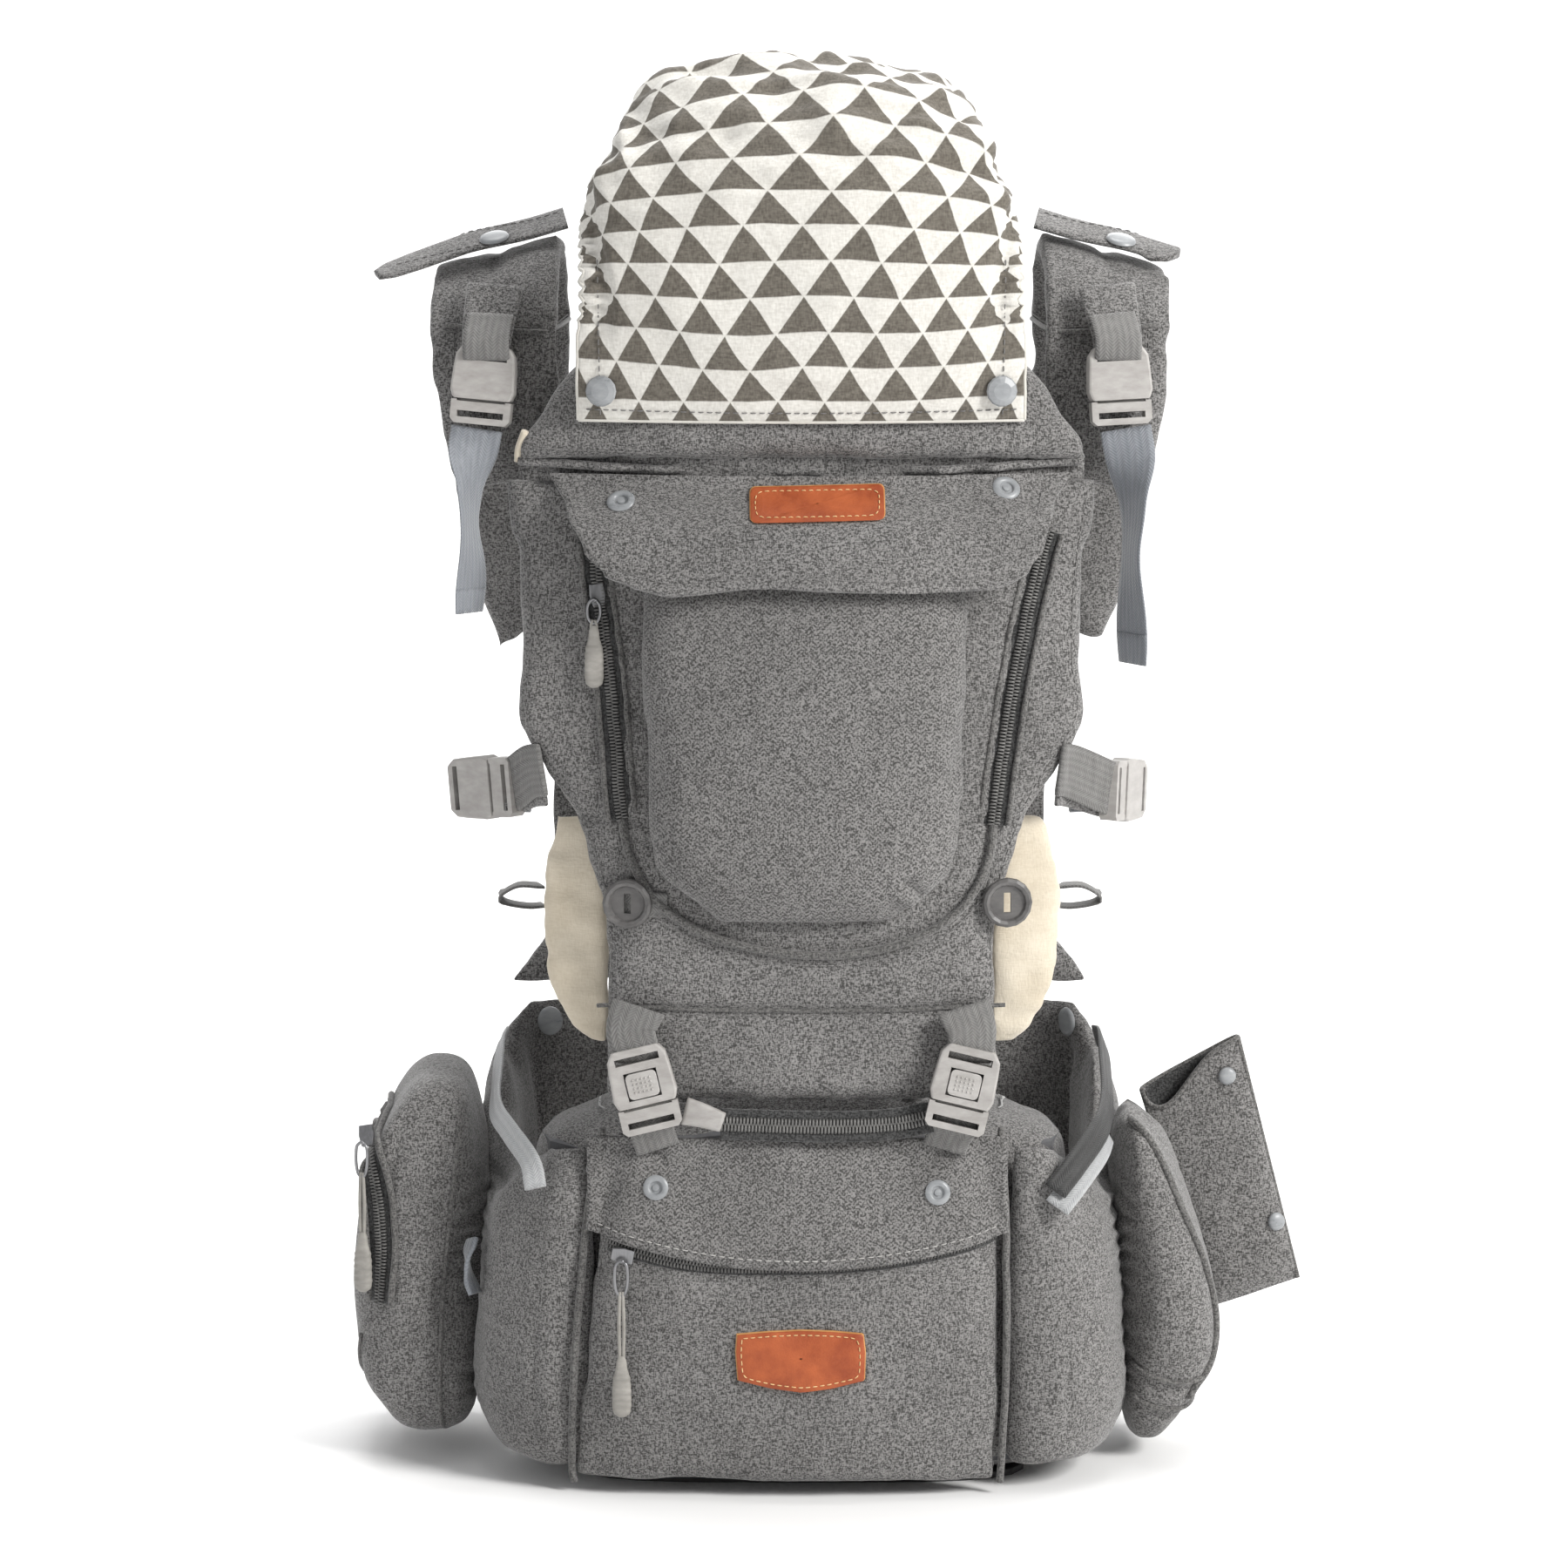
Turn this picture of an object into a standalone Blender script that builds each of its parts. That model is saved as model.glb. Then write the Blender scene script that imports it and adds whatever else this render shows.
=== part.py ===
"""Soft baby carrier with a hip seat, standing on its seat.

Lengths in the constants and functions are millimetres and become metres where vertices are
placed. The front faces -Y, +Z is up. "left" and "right" are as seen from the front: left is -X.
The origin is under the middle of the bounding box, on the floor.
"""

import math

import bmesh
import bpy
from mathutils import Matrix, Vector

MM = 0.001
GAP = 1.0                    # clearance between soft layers

# Where the carrier's own centre plane stands in the final frame.
CENTRE_X, CENTRE_Y = -12.75, -9.7

# Hip seat and belt
SEAT_HALF_WIDTH, SEAT_HALF_DEPTH, SEAT_MID_Y = 131.0, 57.0, -29.0
SEAT_POWER = 3.0             # squareness of the seat seen from above
SEAT_TOP = 178.0
SEAT_WALL = 3.0
BASE_THICKNESS = 3.0
BELT_THICKNESS = 13.0
BELT_SIDE_X, BELT_BACK_Y = 141.0, 107.0
WAIST_Z = 130.0

# Panel
PANEL_BOTTOM, PANEL_TOP = 176.0, 459.5
PANEL_THICKNESS = 10.0
HEADREST_BOTTOM, HEADREST_TOP = 461.0, 518.0
HEADREST_THICKNESS = 13.0
HOOD_THICKNESS = 2.5
HOOD_HALF_WIDTH = 100.0

# Straps
STRAP_WIDTH, STRAP_THICKNESS = 62.0, 14.0
WEBBING_THICKNESS = 1.6
YOKE_BOTTOM, YOKE_TOP = 193.0, 385.0

# Buckles: width, socket length, plug length, depth
LOWER_BUCKLE = (29.0, 26.0, 12.0, 10.0)
TOP_BUCKLE = (29.0, 24.0, 11.0, 9.0)
SIDE_BUCKLE = (29.0, 28.0, 14.0, 9.0)
WAIST_BUCKLE = (48.0, 36.0, 22.0, 10.0)

# Colour, roughness and metallic value of each material
MATERIALS = {
    "grey_fabric": ((0.18, 0.175, 0.172), 0.95, 0.0),
    "cream_cotton": ((0.80, 0.75, 0.66), 0.95, 0.0),
    "print_cotton": ((0.72, 0.69, 0.64), 0.9, 0.0),
    "mesh_fabric": ((0.32, 0.32, 0.31), 0.9, 0.0),
    "seat_foam": ((0.10, 0.10, 0.11), 0.8, 0.0),
    "sole_rubber": ((0.05, 0.05, 0.05), 0.8, 0.0),
    "buckle_plastic": ((0.35, 0.33, 0.31), 0.45, 0.0),
    "ring_plastic": ((0.10, 0.095, 0.095), 0.4, 0.0),
    "snap_plastic": ((0.25, 0.26, 0.27), 0.35, 0.0),
    "webbing": ((0.36, 0.38, 0.42), 0.6, 0.0),
    "leather": ((0.42, 0.10, 0.03), 0.5, 0.0),
    "zip_coil": ((0.12, 0.118, 0.115), 0.5, 0.0),
    "zip_metal": ((0.30, 0.30, 0.31), 0.3, 0.9),
    "pull_rubber": ((0.27, 0.26, 0.24), 0.6, 0.0),
}


# Scene and materials

for old in list(bpy.data.objects):
    bpy.data.objects.remove(old, do_unlink=True)

parts = bpy.data.collections.new("baby_carrier")
cutters = bpy.data.collections.new("cutters")
bpy.context.scene.collection.children.link(parts)
bpy.context.scene.collection.children.link(cutters)


def make_material(slot):
    colour, roughness, metallic = MATERIALS[slot]
    made = bpy.data.materials.get(slot)
    if made is None:
        made = bpy.data.materials.new(slot)
        made.use_nodes = True
        shader = made.node_tree.nodes["Principled BSDF"]
        shader.inputs["Base Color"].default_value = (*colour, 1.0)
        shader.inputs["Roughness"].default_value = roughness
        shader.inputs["Metallic"].default_value = metallic
    return made


def add_object(name, mesh, slot):
    obj = bpy.data.objects.new(name, mesh)
    mesh.materials.append(make_material(slot))
    mesh.shade_smooth()
    mesh.set_sharp_from_angle(angle=math.radians(35))
    parts.objects.link(obj)
    return obj


def move_origin(obj, point):
    """Puts the object's origin on its joint's axis without moving the shape."""
    at = Vector(point) * MM
    obj.data.transform(Matrix.Translation(-at))
    obj.location = at


def join_to(child, parent):
    """Parents child to parent and keeps it where it is."""
    bpy.context.view_layer.update()
    child.parent = parent
    child.matrix_parent_inverse = parent.matrix_world.inverted()


# Curves and blends

def blend(a, b, t):
    return a + (b - a) * t


def smoothstep(t):
    t = min(max(t, 0.0), 1.0)
    return t * t * (3 - 2 * t)


def between(keys, at):
    """Smooth value at a position, from (position, value) keys in rising order."""
    if at <= keys[0][0]:
        return keys[0][1]
    for (low, first), (high, second) in zip(keys, keys[1:]):
        if at <= high:
            return blend(first, second, smoothstep((at - low) / (high - low)))
    return keys[-1][1]


def straight_between(keys, at):
    if at <= keys[0][0]:
        return keys[0][1]
    for (low, first), (high, second) in zip(keys, keys[1:]):
        if at <= high:
            return blend(first, second, (at - low) / (high - low))
    return keys[-1][1]


def smooth_path(points, count):
    """count points along one smooth curve through the given ones, evenly spaced."""
    knots = [Vector(p) for p in points]
    knots = [2 * knots[0] - knots[1], *knots, 2 * knots[-1] - knots[-2]]
    fine = []
    for a, b, c, d in zip(knots, knots[1:], knots[2:], knots[3:]):
        for step in range(24):
            t = step / 24
            fine.append(0.5 * (2 * b + (c - a) * t + (2 * a - 5 * b + 4 * c - d) * t * t
                               + (3 * b - a - 3 * c + d) * t ** 3))
    fine.append(knots[-2])
    lengths = [0.0]
    for p, q in zip(fine, fine[1:]):
        lengths.append(lengths[-1] + (q - p).length)
    spaced, k = [], 0
    for i in range(count):
        target = lengths[-1] * i / (count - 1)
        while k < len(lengths) - 2 and lengths[k + 1] < target:
            k += 1
        share = (target - lengths[k]) / max(lengths[k + 1] - lengths[k], 1e-9)
        spaced.append(fine[k].lerp(fine[k + 1], share))
    return spaced


def power_sum(values, power):
    return sum(abs(v) ** power for v in values) ** (1 / power)


# Shapes

def cut_cube(cuts):
    """A cube from -1 to 1 with its sides cut into cuts[0] by cuts[1] by cuts[2]."""
    bm = bmesh.new()
    bmesh.ops.create_cube(bm, size=2)
    for axis, number in enumerate(cuts):
        normal = [0, 0, 0]
        normal[axis] = 1
        for k in range(1, number):
            place = [0, 0, 0]
            place[axis] = -1 + 2 * k / number
            bmesh.ops.bisect_plane(bm, geom=bm.verts[:] + bm.edges[:] + bm.faces[:],
                                   plane_co=place, plane_no=normal)
    return bm


def block(name, cuts, place, slot):
    """A closed body: a cut cube whose corners (u, v, w) go to place(u, v, w), in mm."""
    bm = cut_cube(cuts)
    for vertex in bm.verts:
        vertex.co = Vector(place(*vertex.co)) * MM
    if bm.calc_volume(signed=True) < 0:
        bmesh.ops.reverse_faces(bm, faces=bm.faces)
    mesh = bpy.data.meshes.new(name)
    bm.to_mesh(mesh)
    bm.free()
    return add_object(name, mesh, slot)


def sheet(name, cuts, place, thickness, slot):
    """A shell: a grid whose points (u, v) from -1 to 1 go to place(u, v), thickened evenly."""
    bm = bmesh.new()
    bmesh.ops.create_grid(bm, x_segments=cuts[0], y_segments=cuts[1], size=1)
    for vertex in bm.verts:
        vertex.co = Vector(place(vertex.co.x, vertex.co.y)) * MM
    mesh = bpy.data.meshes.new(name)
    bm.to_mesh(mesh)
    bm.free()
    obj = add_object(name, mesh, slot)
    shell = obj.modifiers.new("Thickness", "SOLIDIFY")
    shell.thickness = thickness * MM
    shell.offset = 0
    return obj


def pad(name, cuts, height, edges, back, depth, slot):
    """A filled panel: edges(z) gives its left and right x, back(x, z) its back, depth(u, v)."""
    def place(u, v, w):
        z = blend(height[0], height[1], (w + 1) / 2)
        left, right = edges(z)
        x = blend(left, right, (u + 1) / 2)
        rear = back(x, z)
        return x, rear - (depth(u, w) if v < 0 else 0), z
    return block(name, (cuts[0], 1, cuts[1]), place, slot)


def ribbon(name, path, across, width, thickness, slot, cuts=(1, 20)):
    """A strap along path: across(share) is its width's direction, width(share) its width."""
    line = smooth_path(path, cuts[1] + 1)

    def place(u, v, w):
        share = (w + 1) / 2
        k = round(share * cuts[1])
        ahead = line[min(k + 1, cuts[1])] - line[max(k - 1, 0)]
        ahead.normalize()
        side = Vector(across(share))
        side = (side - ahead * side.dot(ahead)).normalized()
        out = ahead.cross(side)
        return line[k] + side * u * width(share) / 2 + out * v * thickness / 2
    return block(name, (cuts[0], 1, cuts[1]), place, slot)


def egg_point(centre, half, power, direction):
    """The point of a squared-off ellipsoid in a direction from its centre."""
    reach = power_sum([direction[i] / half[i] for i in range(3)], power)
    return Vector(centre) + Vector(direction) / reach


def bevelled(obj, width, segments=2):
    edge = obj.modifiers.new("Edges", "BEVEL")
    edge.width = width * MM
    edge.segments = segments
    edge.limit_method = "ANGLE"
    edge.angle_limit = math.radians(50)
    return obj


def cut_box(obj, centre, size):
    """Cuts a box out of obj: centre and size in mm, in obj's own axes."""
    bm = bmesh.new()
    bmesh.ops.create_cube(bm, size=1)
    bmesh.ops.transform(bm, verts=bm.verts, matrix=Matrix.Diagonal((*(s * MM for s in size), 1)))
    mesh = bpy.data.meshes.new("cutter")
    bm.to_mesh(mesh)
    bm.free()
    cutter = bpy.data.objects.new(f"{obj.name}_cut", mesh)
    cutters.objects.link(cutter)
    cutter.parent = obj
    cutter.location = Vector(centre) * MM
    cutter.hide_render = True
    cutter.display_type = "WIRE"
    cut = obj.modifiers.new("Cut", "BOOLEAN")
    cut.operation = "DIFFERENCE"
    cut.object = cutter


def plate(name, outline, thickness, slot, frame, bevel=0.5):
    """A flat piece: outline in x and z, thickness along y, placed by the matrix frame."""
    curve = bpy.data.curves.new(name, "CURVE")
    curve.dimensions = "2D"
    curve.fill_mode = "BOTH"
    curve.extrude = thickness / 2 * MM
    spline = curve.splines.new("POLY")
    spline.points.add(len(outline) - 1)
    for point, (x, z) in zip(spline.points, outline):
        point.co = (x * MM, z * MM, 0, 1)
    spline.use_cyclic_u = True
    flat = bpy.data.objects.new(name, curve)
    parts.objects.link(flat)
    graph = bpy.context.evaluated_depsgraph_get()
    mesh = bpy.data.meshes.new_from_object(flat.evaluated_get(graph))
    bpy.data.objects.remove(flat, do_unlink=True)
    mesh.transform(Matrix.Rotation(math.radians(90), 4, "X"))
    bm = bmesh.new()
    bm.from_mesh(mesh)
    bmesh.ops.remove_doubles(bm, verts=bm.verts, dist=1e-6)
    bmesh.ops.recalc_face_normals(bm, faces=bm.faces)
    bm.to_mesh(mesh)
    bm.free()
    obj = add_object(name, mesh, slot)
    obj.matrix_world = frame
    return bevelled(obj, bevel) if bevel else obj


def rounded_rectangle(width, height, radius, steps=4):
    """Outline of a rectangle with round corners, about its middle."""
    outline = []
    for k, (sx, sz) in enumerate(((1, 1), (-1, 1), (-1, -1), (1, -1))):
        for step in range(steps + 1):
            turn = math.radians(90 * (k + step / steps))
            outline.append((sx * (width / 2 - radius) + radius * math.cos(turn),
                            sz * (height / 2 - radius) + radius * math.sin(turn)))
    return outline


def turned(name, profile, slot, axis="Y", steps=20):
    """A turned piece from (radius, height) points, listed from top to bottom, along -axis."""
    mesh = bpy.data.meshes.new(name)
    bm = bmesh.new()
    made = [bm.verts.new((r * MM, 0, h * MM)) for r, h in profile]
    for a, b in zip(made, made[1:]):
        bm.edges.new((a, b))
    bm.to_mesh(mesh)
    bm.free()
    obj = add_object(name, mesh, slot)
    screw = obj.modifiers.new("Turn", "SCREW")
    screw.steps = screw.render_steps = steps
    screw.use_merge_vertices = True
    screw.merge_threshold = 0.0001
    if axis == "Y":
        obj.rotation_euler = (math.radians(90), 0, 0)
    return obj


def axes_at(origin, along, face):
    """A frame whose z runs along a direction and whose -y looks out along face."""
    z = Vector(along).normalized()
    y = -Vector(face)
    y = (y - z * y.dot(z)).normalized()
    x = y.cross(z)
    turn = Matrix((x, y, z)).transposed().to_4x4()
    return Matrix.Translation(Vector(origin) * MM) @ turn


# Surfaces that the layers follow

def body_bow(x):
    """How far the panel's layers curve back at x."""
    return 0.0011 * x * x


def seat_bow(x):
    return 0.0006 * x * x


def panel_front(x, z):
    lean = straight_between(((PANEL_BOTTOM, -88), (222, -87), (PANEL_TOP, -66)), z)
    return lean + body_bow(x)


def panel_edge(z):
    half = between(((176, 88), (222, 91), (262, 92), (307, 106), (346, 131), (375, 128),
                    (412, 129), (459, 135)), z)
    return -half, half


def pocket_front(x, z):
    """Front of the chest pocket, for the layers over it."""
    return panel_front(x, z) - GAP - between(((250, 5), (285, 20), (370, 24), (444, 8)), z)


def headrest_front(x, z):
    return -73 + 0.25 * (z - HEADREST_BOTTOM) + body_bow(x)


# Hip seat

def seat_point(u, v, w, shrink=0.0):
    """A point of the seat: a cube corner pressed to a rounded plan with a crowned top."""
    longest = max(abs(u), abs(v))
    reach = power_sum((u, v), SEAT_POWER)
    round_off = longest / reach if reach > 0 else 0
    top_pull = 1 - 0.05 * smoothstep((w - 0.6) / 0.4)
    x = u * round_off * (SEAT_HALF_WIDTH - shrink) * top_pull
    y = v * round_off * (SEAT_HALF_DEPTH - shrink) * top_pull + SEAT_MID_Y
    crown = SEAT_TOP - shrink - 22 * abs(x / SEAT_HALF_WIDTH) ** 2 - 8 * max(0, -v) ** 3
    return x, y, blend(BASE_THICKNESS + GAP + shrink, crown, (w + 1) / 2)


def seat_cover():
    bm = cut_cube((8, 6, 4))
    floor = [face for face in bm.faces if face.calc_center_median().z < -0.99]
    bmesh.ops.delete(bm, geom=floor, context="FACES")
    for vertex in bm.verts:
        vertex.co = Vector(seat_point(*vertex.co)) * MM
    mesh = bpy.data.meshes.new("seat_cover")
    bm.to_mesh(mesh)
    bm.free()
    cover = add_object("seat_cover", mesh, "grey_fabric")
    wall = cover.modifiers.new("Wall", "SOLIDIFY")
    wall.thickness = SEAT_WALL * MM
    wall.offset = -1


def seat_inside():
    block("seat_core", (6, 4, 2), lambda u, v, w: seat_point(u, v, w, SEAT_WALL + 3), "seat_foam")
    outline = [(u * 104, v * 46) for u, v in
               ((math.copysign(abs(math.cos(a)) ** 0.5, math.cos(a)),
                 math.copysign(abs(math.sin(a)) ** 0.5, math.sin(a)))
                for a in (math.radians(15 * k) for k in range(24)))]
    frame = axes_at((0, SEAT_MID_Y, BASE_THICKNESS / 2), (0, 1, 0), (0, 0, 1))
    plate("seat_base", outline, BASE_THICKNESS, "sole_rubber", frame, 0.6)


def seat_top_pad():
    def place(u, v, w):
        lift = 0.6 + (1.8 if w > 0 else 0) * (1 - 0.5 * max(abs(u), abs(v)) ** 4)
        x, y, z = seat_point(u * 0.76, v * 0.7 + 0.12, 1)
        return x, y, z + lift
    block("seat_mesh_pad", (6, 4, 1), place, "mesh_fabric")


def front_pocket_edges(z):
    left = between(((2, -105), (60, -103), (120, -98), (169, -91)), z)
    right = between(((2, 92), (60, 94), (120, 94), (169, 91)), z)
    return left, right


def front_pocket_back(x, z):
    return -88.5 + seat_bow(x)


def front_pocket_depth(u, w):
    middle = between(((-1, 11), (-0.4, 15), (0.2, 14), (1, 3)), w)
    return max(2.5, middle * (1 - 0.35 * abs(u) ** 4))


def front_face(x, z):
    """Front surface of the seat's pocket."""
    left, right = front_pocket_edges(z)
    u = 2 * (x - left) / (right - left) - 1
    return front_pocket_back(x, z) - front_pocket_depth(u, 2 * (z - 2) / 167 - 1)


def yoke_line(x):
    """Height of the front yoke's curved lower edge."""
    return 107 + 14.5 * (x / 93) ** 2


def front_panels():
    pad("front_pocket", (8, 8), (2, 169), front_pocket_edges, front_pocket_back,
        front_pocket_depth, "grey_fabric")

    def place(u, v, w):
        z_share = (w + 1) / 2
        left, right = front_pocket_edges(145)
        x = blend(left, right, (u + 1) / 2)
        z = blend(yoke_line(x), 165, z_share)
        return x, front_face(x, z) - GAP - (2.2 if v < 0 else 0), z
    block("front_pocket_yoke", (10, 1, 3), place, "grey_fabric")


def front_zip():
    half = 84.0
    start = Vector((-half, front_face(-half, 118) - 4.2, yoke_line(-half) - 6.5))

    def place(u, v, w):
        x = w * half
        z = yoke_line(x) - 4.2 + u * 2.4
        return x, front_face(x, z) - 1.1 + v * 0.5, z
    block("front_zip_chain", (1, 1, 16), place, "zip_coil")
    slider = zip_slider("front_zip_slider", start + Vector((4, -1.8, 0.2)), (1, 0, -0.22), (0, -1, 0))
    zip_pull("front_zip_pull", slider, start + Vector((3.5, -6.2, -3)), 70, (0, -1, 0))


def front_patch():
    outline = [(-28, 14), (28, 14), (28.5, -8), (18, -12), (0, -15), (-18, -12), (-28.5, -8)]
    frame = axes_at((-1, front_face(0, 66) - 2.0, 66), (0, 0, 1), (0, -1, 0))
    plate("front_patch", outline, 1.8, "leather", frame)


# Zips

def zip_slider(name, at, along, face):
    """A slider body that straddles the coil, with a bridge for the pull."""
    outline = [(-3.2, 5), (3.2, 5), (3.6, 0), (2.6, -5), (-2.6, -5), (-3.6, 0)]
    frame = axes_at(at, along, face)
    return plate(name, outline, 2.2, "zip_metal", frame, 0.4)


def zip_pull(name, slider, top, length, face):
    """A flat pull: a thin link that widens to a ribbed rubber tab, hanging from its top."""
    tab = 28.0
    profile = [(0, 0), (1.2, -0.6), (1.5, -3), (1.5, -length + tab), (3.4, -length + tab - 3),
               (4.2, -length + tab - 9), (4.2, -length + 3), (3.0, -length + 0.4), (0, -length)]
    pull = turned(name, profile, "pull_rubber", axis="Z", steps=14)
    pull.matrix_world = axes_at(top, (0, 0, 1), face) @ Matrix.Diagonal((1, 0.62, 1, 1))
    join_to(pull, slider)


# Belt

def belt_line(side):
    """The belt's centre line seen from above, from the seat's front corner to the back."""
    wide, deep = SEAT_HALF_WIDTH + 3 + BELT_THICKNESS / 2, SEAT_HALF_DEPTH + 3 + BELT_THICKNESS / 2
    line = []
    for x in (112, 122, 131, 137):
        y = SEAT_MID_Y - deep * (1 - (x / wide) ** SEAT_POWER) ** (1 / SEAT_POWER)
        line.append((side * x, y, 0))
    line += [(side * BELT_SIDE_X, SEAT_MID_Y + 6, 0), (side * BELT_SIDE_X, 30, 0),
             (side * BELT_SIDE_X, 62, 0), (side * 133, 90, 0), (side * 112, 104, 0),
             (side * 85, BELT_BACK_Y, 0), (side * 48, BELT_BACK_Y, 0)]
    return line


def belt_wings():
    count = 20
    for side, name in ((-1, "belt_wing_left"), (1, "belt_wing_right")):
        line = smooth_path(belt_line(side), count + 1)

        def place(u, v, w):
            k = round((w + 1) / 2 * count)
            share = k / count
            ahead = (line[min(k + 1, count)] - line[max(k - 1, 0)]).normalized()
            out = ahead.cross(Vector((0, 0, side)))
            low = between(((0, 2), (0.3, 2), (0.62, 22), (0.8, 66), (1, 78)), share)
            high = between(((0, 150), (0.3, 152), (0.6, 168), (0.8, 190), (1, 182)), share)
            plump = 1 - 0.35 * abs(u) ** 3
            at = line[k] + out * v * BELT_THICKNESS / 2 * plump
            return at.x, at.y, blend(low, high, (u + 1) / 2)
        block(name, (4, 1, count), place, "grey_fabric")


def waist_closure():
    outer = BELT_BACK_Y + BELT_THICKNESS / 2 + 0.6
    for side, name in ((-1, "belt_webbing_left"), (1, "belt_webbing_right")):
        path = [(side * 118, outer + 2.8, WAIST_Z), (side * 96, outer + 1.2, WAIST_Z),
                (side * 60, outer + 1.2, WAIST_Z), (side * 5, outer + 1.2, WAIST_Z)]
        ribbon(name, path, lambda s: (0, 0, 1), lambda s: 38.0, WEBBING_THICKNESS, "webbing", (1, 8))
    depth = WAIST_BUCKLE[3]
    frame = axes_at((0, outer + 2.6 + depth / 2, WAIST_Z), (-1, 0, 0), (0, 1, 0))
    buckle("waist_buckle", WAIST_BUCKLE, frame)


# Buckles

def buckle(name, size, frame, suffix="", button=False):
    """A socket and its plug, mouth to mouth at the frame's origin, the socket along +z."""
    width, long, short, depth = size
    tongue_width, tongue_depth = width - 10, depth - 6
    outline = [(-width / 2 + 1.5, 0), (width / 2 - 1.5, 0), (width / 2, 4),
               (width / 2 - 0.6, long * 0.6), (width / 2 - 1.2, long - 4),
               (width / 2 - 4, long), (-width / 2 + 4, long), (-width / 2 + 1.2, long - 4),
               (-width / 2 + 0.6, long * 0.6), (-width / 2, 4)]
    socket = plate(f"{name}_socket{suffix}", outline, depth, "buckle_plastic", frame, 1.0)
    cut_box(socket, (0, 0, long * 0.3), (tongue_width + 2, depth - 4, long * 0.8))
    cut_box(socket, (0, 0, long - 5), (width - 9, depth * 2, 3.2))
    if button:
        cut_box(socket, (0, -depth / 2, long * 0.36), (15, depth - 1, 12.6))
    outline = [(-width / 2 + 1, -0.5), (-tongue_width / 2, -0.5),
               (-tongue_width / 2 + 1, long * 0.5), (tongue_width / 2 - 1, long * 0.5),
               (tongue_width / 2, -0.5), (width / 2 - 1, -0.5), (width / 2 - 1, -short + 2),
               (width / 2 - 3, -short), (-width / 2 + 3, -short), (-width / 2 + 1, -short + 2)]
    plug = plate(f"{name}_plug{suffix}", outline, depth - 1, "buckle_plastic", frame, 0)
    for face in (-1, 1):
        middle = face * (tongue_depth / 2 + 10)
        cut_box(plug, (0, middle, long * 0.25), (tongue_width + 3, 20, long * 0.5 + 2.4))
    cut_box(plug, (0, 0, -short + 4.2), (width - 8, depth * 2, 2.8))
    if button:
        front = frame @ Matrix.Translation(Vector((0, -depth / 2 + 0.3, long * 0.36)) * MM)
        key = plate(f"{name}_button{suffix}", rounded_rectangle(14, 11.6, 2.2, 3), 1.8,
                    "buckle_plastic", front, 0.4)
        join_to(key, socket)
    return socket, plug


def lower_buckles():
    for side, suffix in ((-1, "_left"), (1, "_right")):
        along = (side * 0.24, 0.12, 1)
        frame = axes_at((side * 69.5 + 1, -99.5, 181.5), along, (0, -1, 0.12))
        buckle("lower_buckle", LOWER_BUCKLE, frame, suffix, button=True)


def top_buckles():
    for side, suffix, lean in ((-1, "_left", -0.2), (1, "_right", 0.16)):
        frame = axes_at((side * 142.5, -44, 491), (side * 0.1 - lean, 0.12, 1), (side * 0.12, -1, 0))
        _, plug = buckle("top_buckle", TOP_BUCKLE, frame, suffix)
        low = 397 if side < 0 else 374
        path = [(side * 145, -46, 478.5), (side * 147.5, -50, 462), (side * 147.5, -55, 430),
                (side * 148.5, -57, low)]
        tail = ribbon(f"webbing_tail{suffix}", path,
                      lambda s: (blend(1, 0.42, smoothstep(s * 3)), blend(0, -side * 0.9, smoothstep(s * 3)), 0),
                      lambda s: 23.0, WEBBING_THICKNESS, "webbing", (1, 12))
        join_to(tail, plug)


def side_buckles():
    for side, suffix, yaw, start in ((-1, "_left", 46, (-138, -38, 315)),
                                     (1, "_right", 68, (144, -34, 313))):
        turn = math.radians(yaw)
        along = (side * math.cos(turn), math.sin(turn), -0.12)
        face = (side * math.sin(turn), -math.cos(turn), 0)
        buckle("side_buckle", SIDE_BUCKLE, axes_at(start, along, face), suffix)


# Pouches on the belt

POUCH_CENTRE, POUCH_HALF, POUCH_POWER = (-179.5, 6, 95.5), (28, 54, 85), 3.6


def pouch_left():
    block("pouch_left", (4, 6, 7),
          lambda u, v, w: egg_point(POUCH_CENTRE, POUCH_HALF, POUCH_POWER,
                                    (u * POUCH_HALF[0], v * POUCH_HALF[1], w * POUCH_HALF[2])),
          "grey_fabric")

    def over(angle, lift, shift=0.0):
        """A point above the pouch on the zip's line, which passes over it from back to front."""
        turn = math.radians(angle)
        away = Vector((-14.0 + shift, math.cos(turn) * 60, math.sin(turn) * 60))
        point = egg_point(POUCH_CENTRE, POUCH_HALF, POUCH_POWER, away)
        return point + (point - Vector(POUCH_CENTRE)).normalized() * lift

    steps = 14
    angles = [blend(20, 132, k / steps) for k in range(steps + 1)]

    def place(u, v, w):
        angle = angles[round((w + 1) / 2 * steps)]
        return over(angle, 2.2 + v * 0.6, u * 2.0)
    block("pouch_zip_chain", (1, 1, steps), place, "zip_coil")
    along = (over(122, 0) - over(132, 0)).normalized()
    at = over(131, 6.8)
    slider = zip_slider("pouch_zip_slider", at, along, at - Vector(POUCH_CENTRE))
    top = at + Vector((-2.0, -6.0, -3.5))
    zip_pull("pouch_zip_pull", slider, top, 68, (-0.4, -1, 0))


def pod_right():
    def place(u, v, w):
        at = egg_point((170.5, -6, 86), (19, 46, 82), 3.6, (u * 19, v * 46, w * 82))
        lean = straight_between(((0, 1), (55, 1), (95, 0.68), (128, 0.4), (165, 0.12)), at.z)
        return 151.5 + (at.x - 151.5) * lean, at.y, at.z
    block("pod_right", (4, 6, 7), place, "grey_fabric")


PHONE_CORNERS = ((192, 60), (233, 74), (203.5, 189), (159, 164))   # x and z, from the hinge's foot
PHONE_REAR, PHONE_DEPTH, PHONE_WALL = 20.0, 13.0, 2.0


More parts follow.
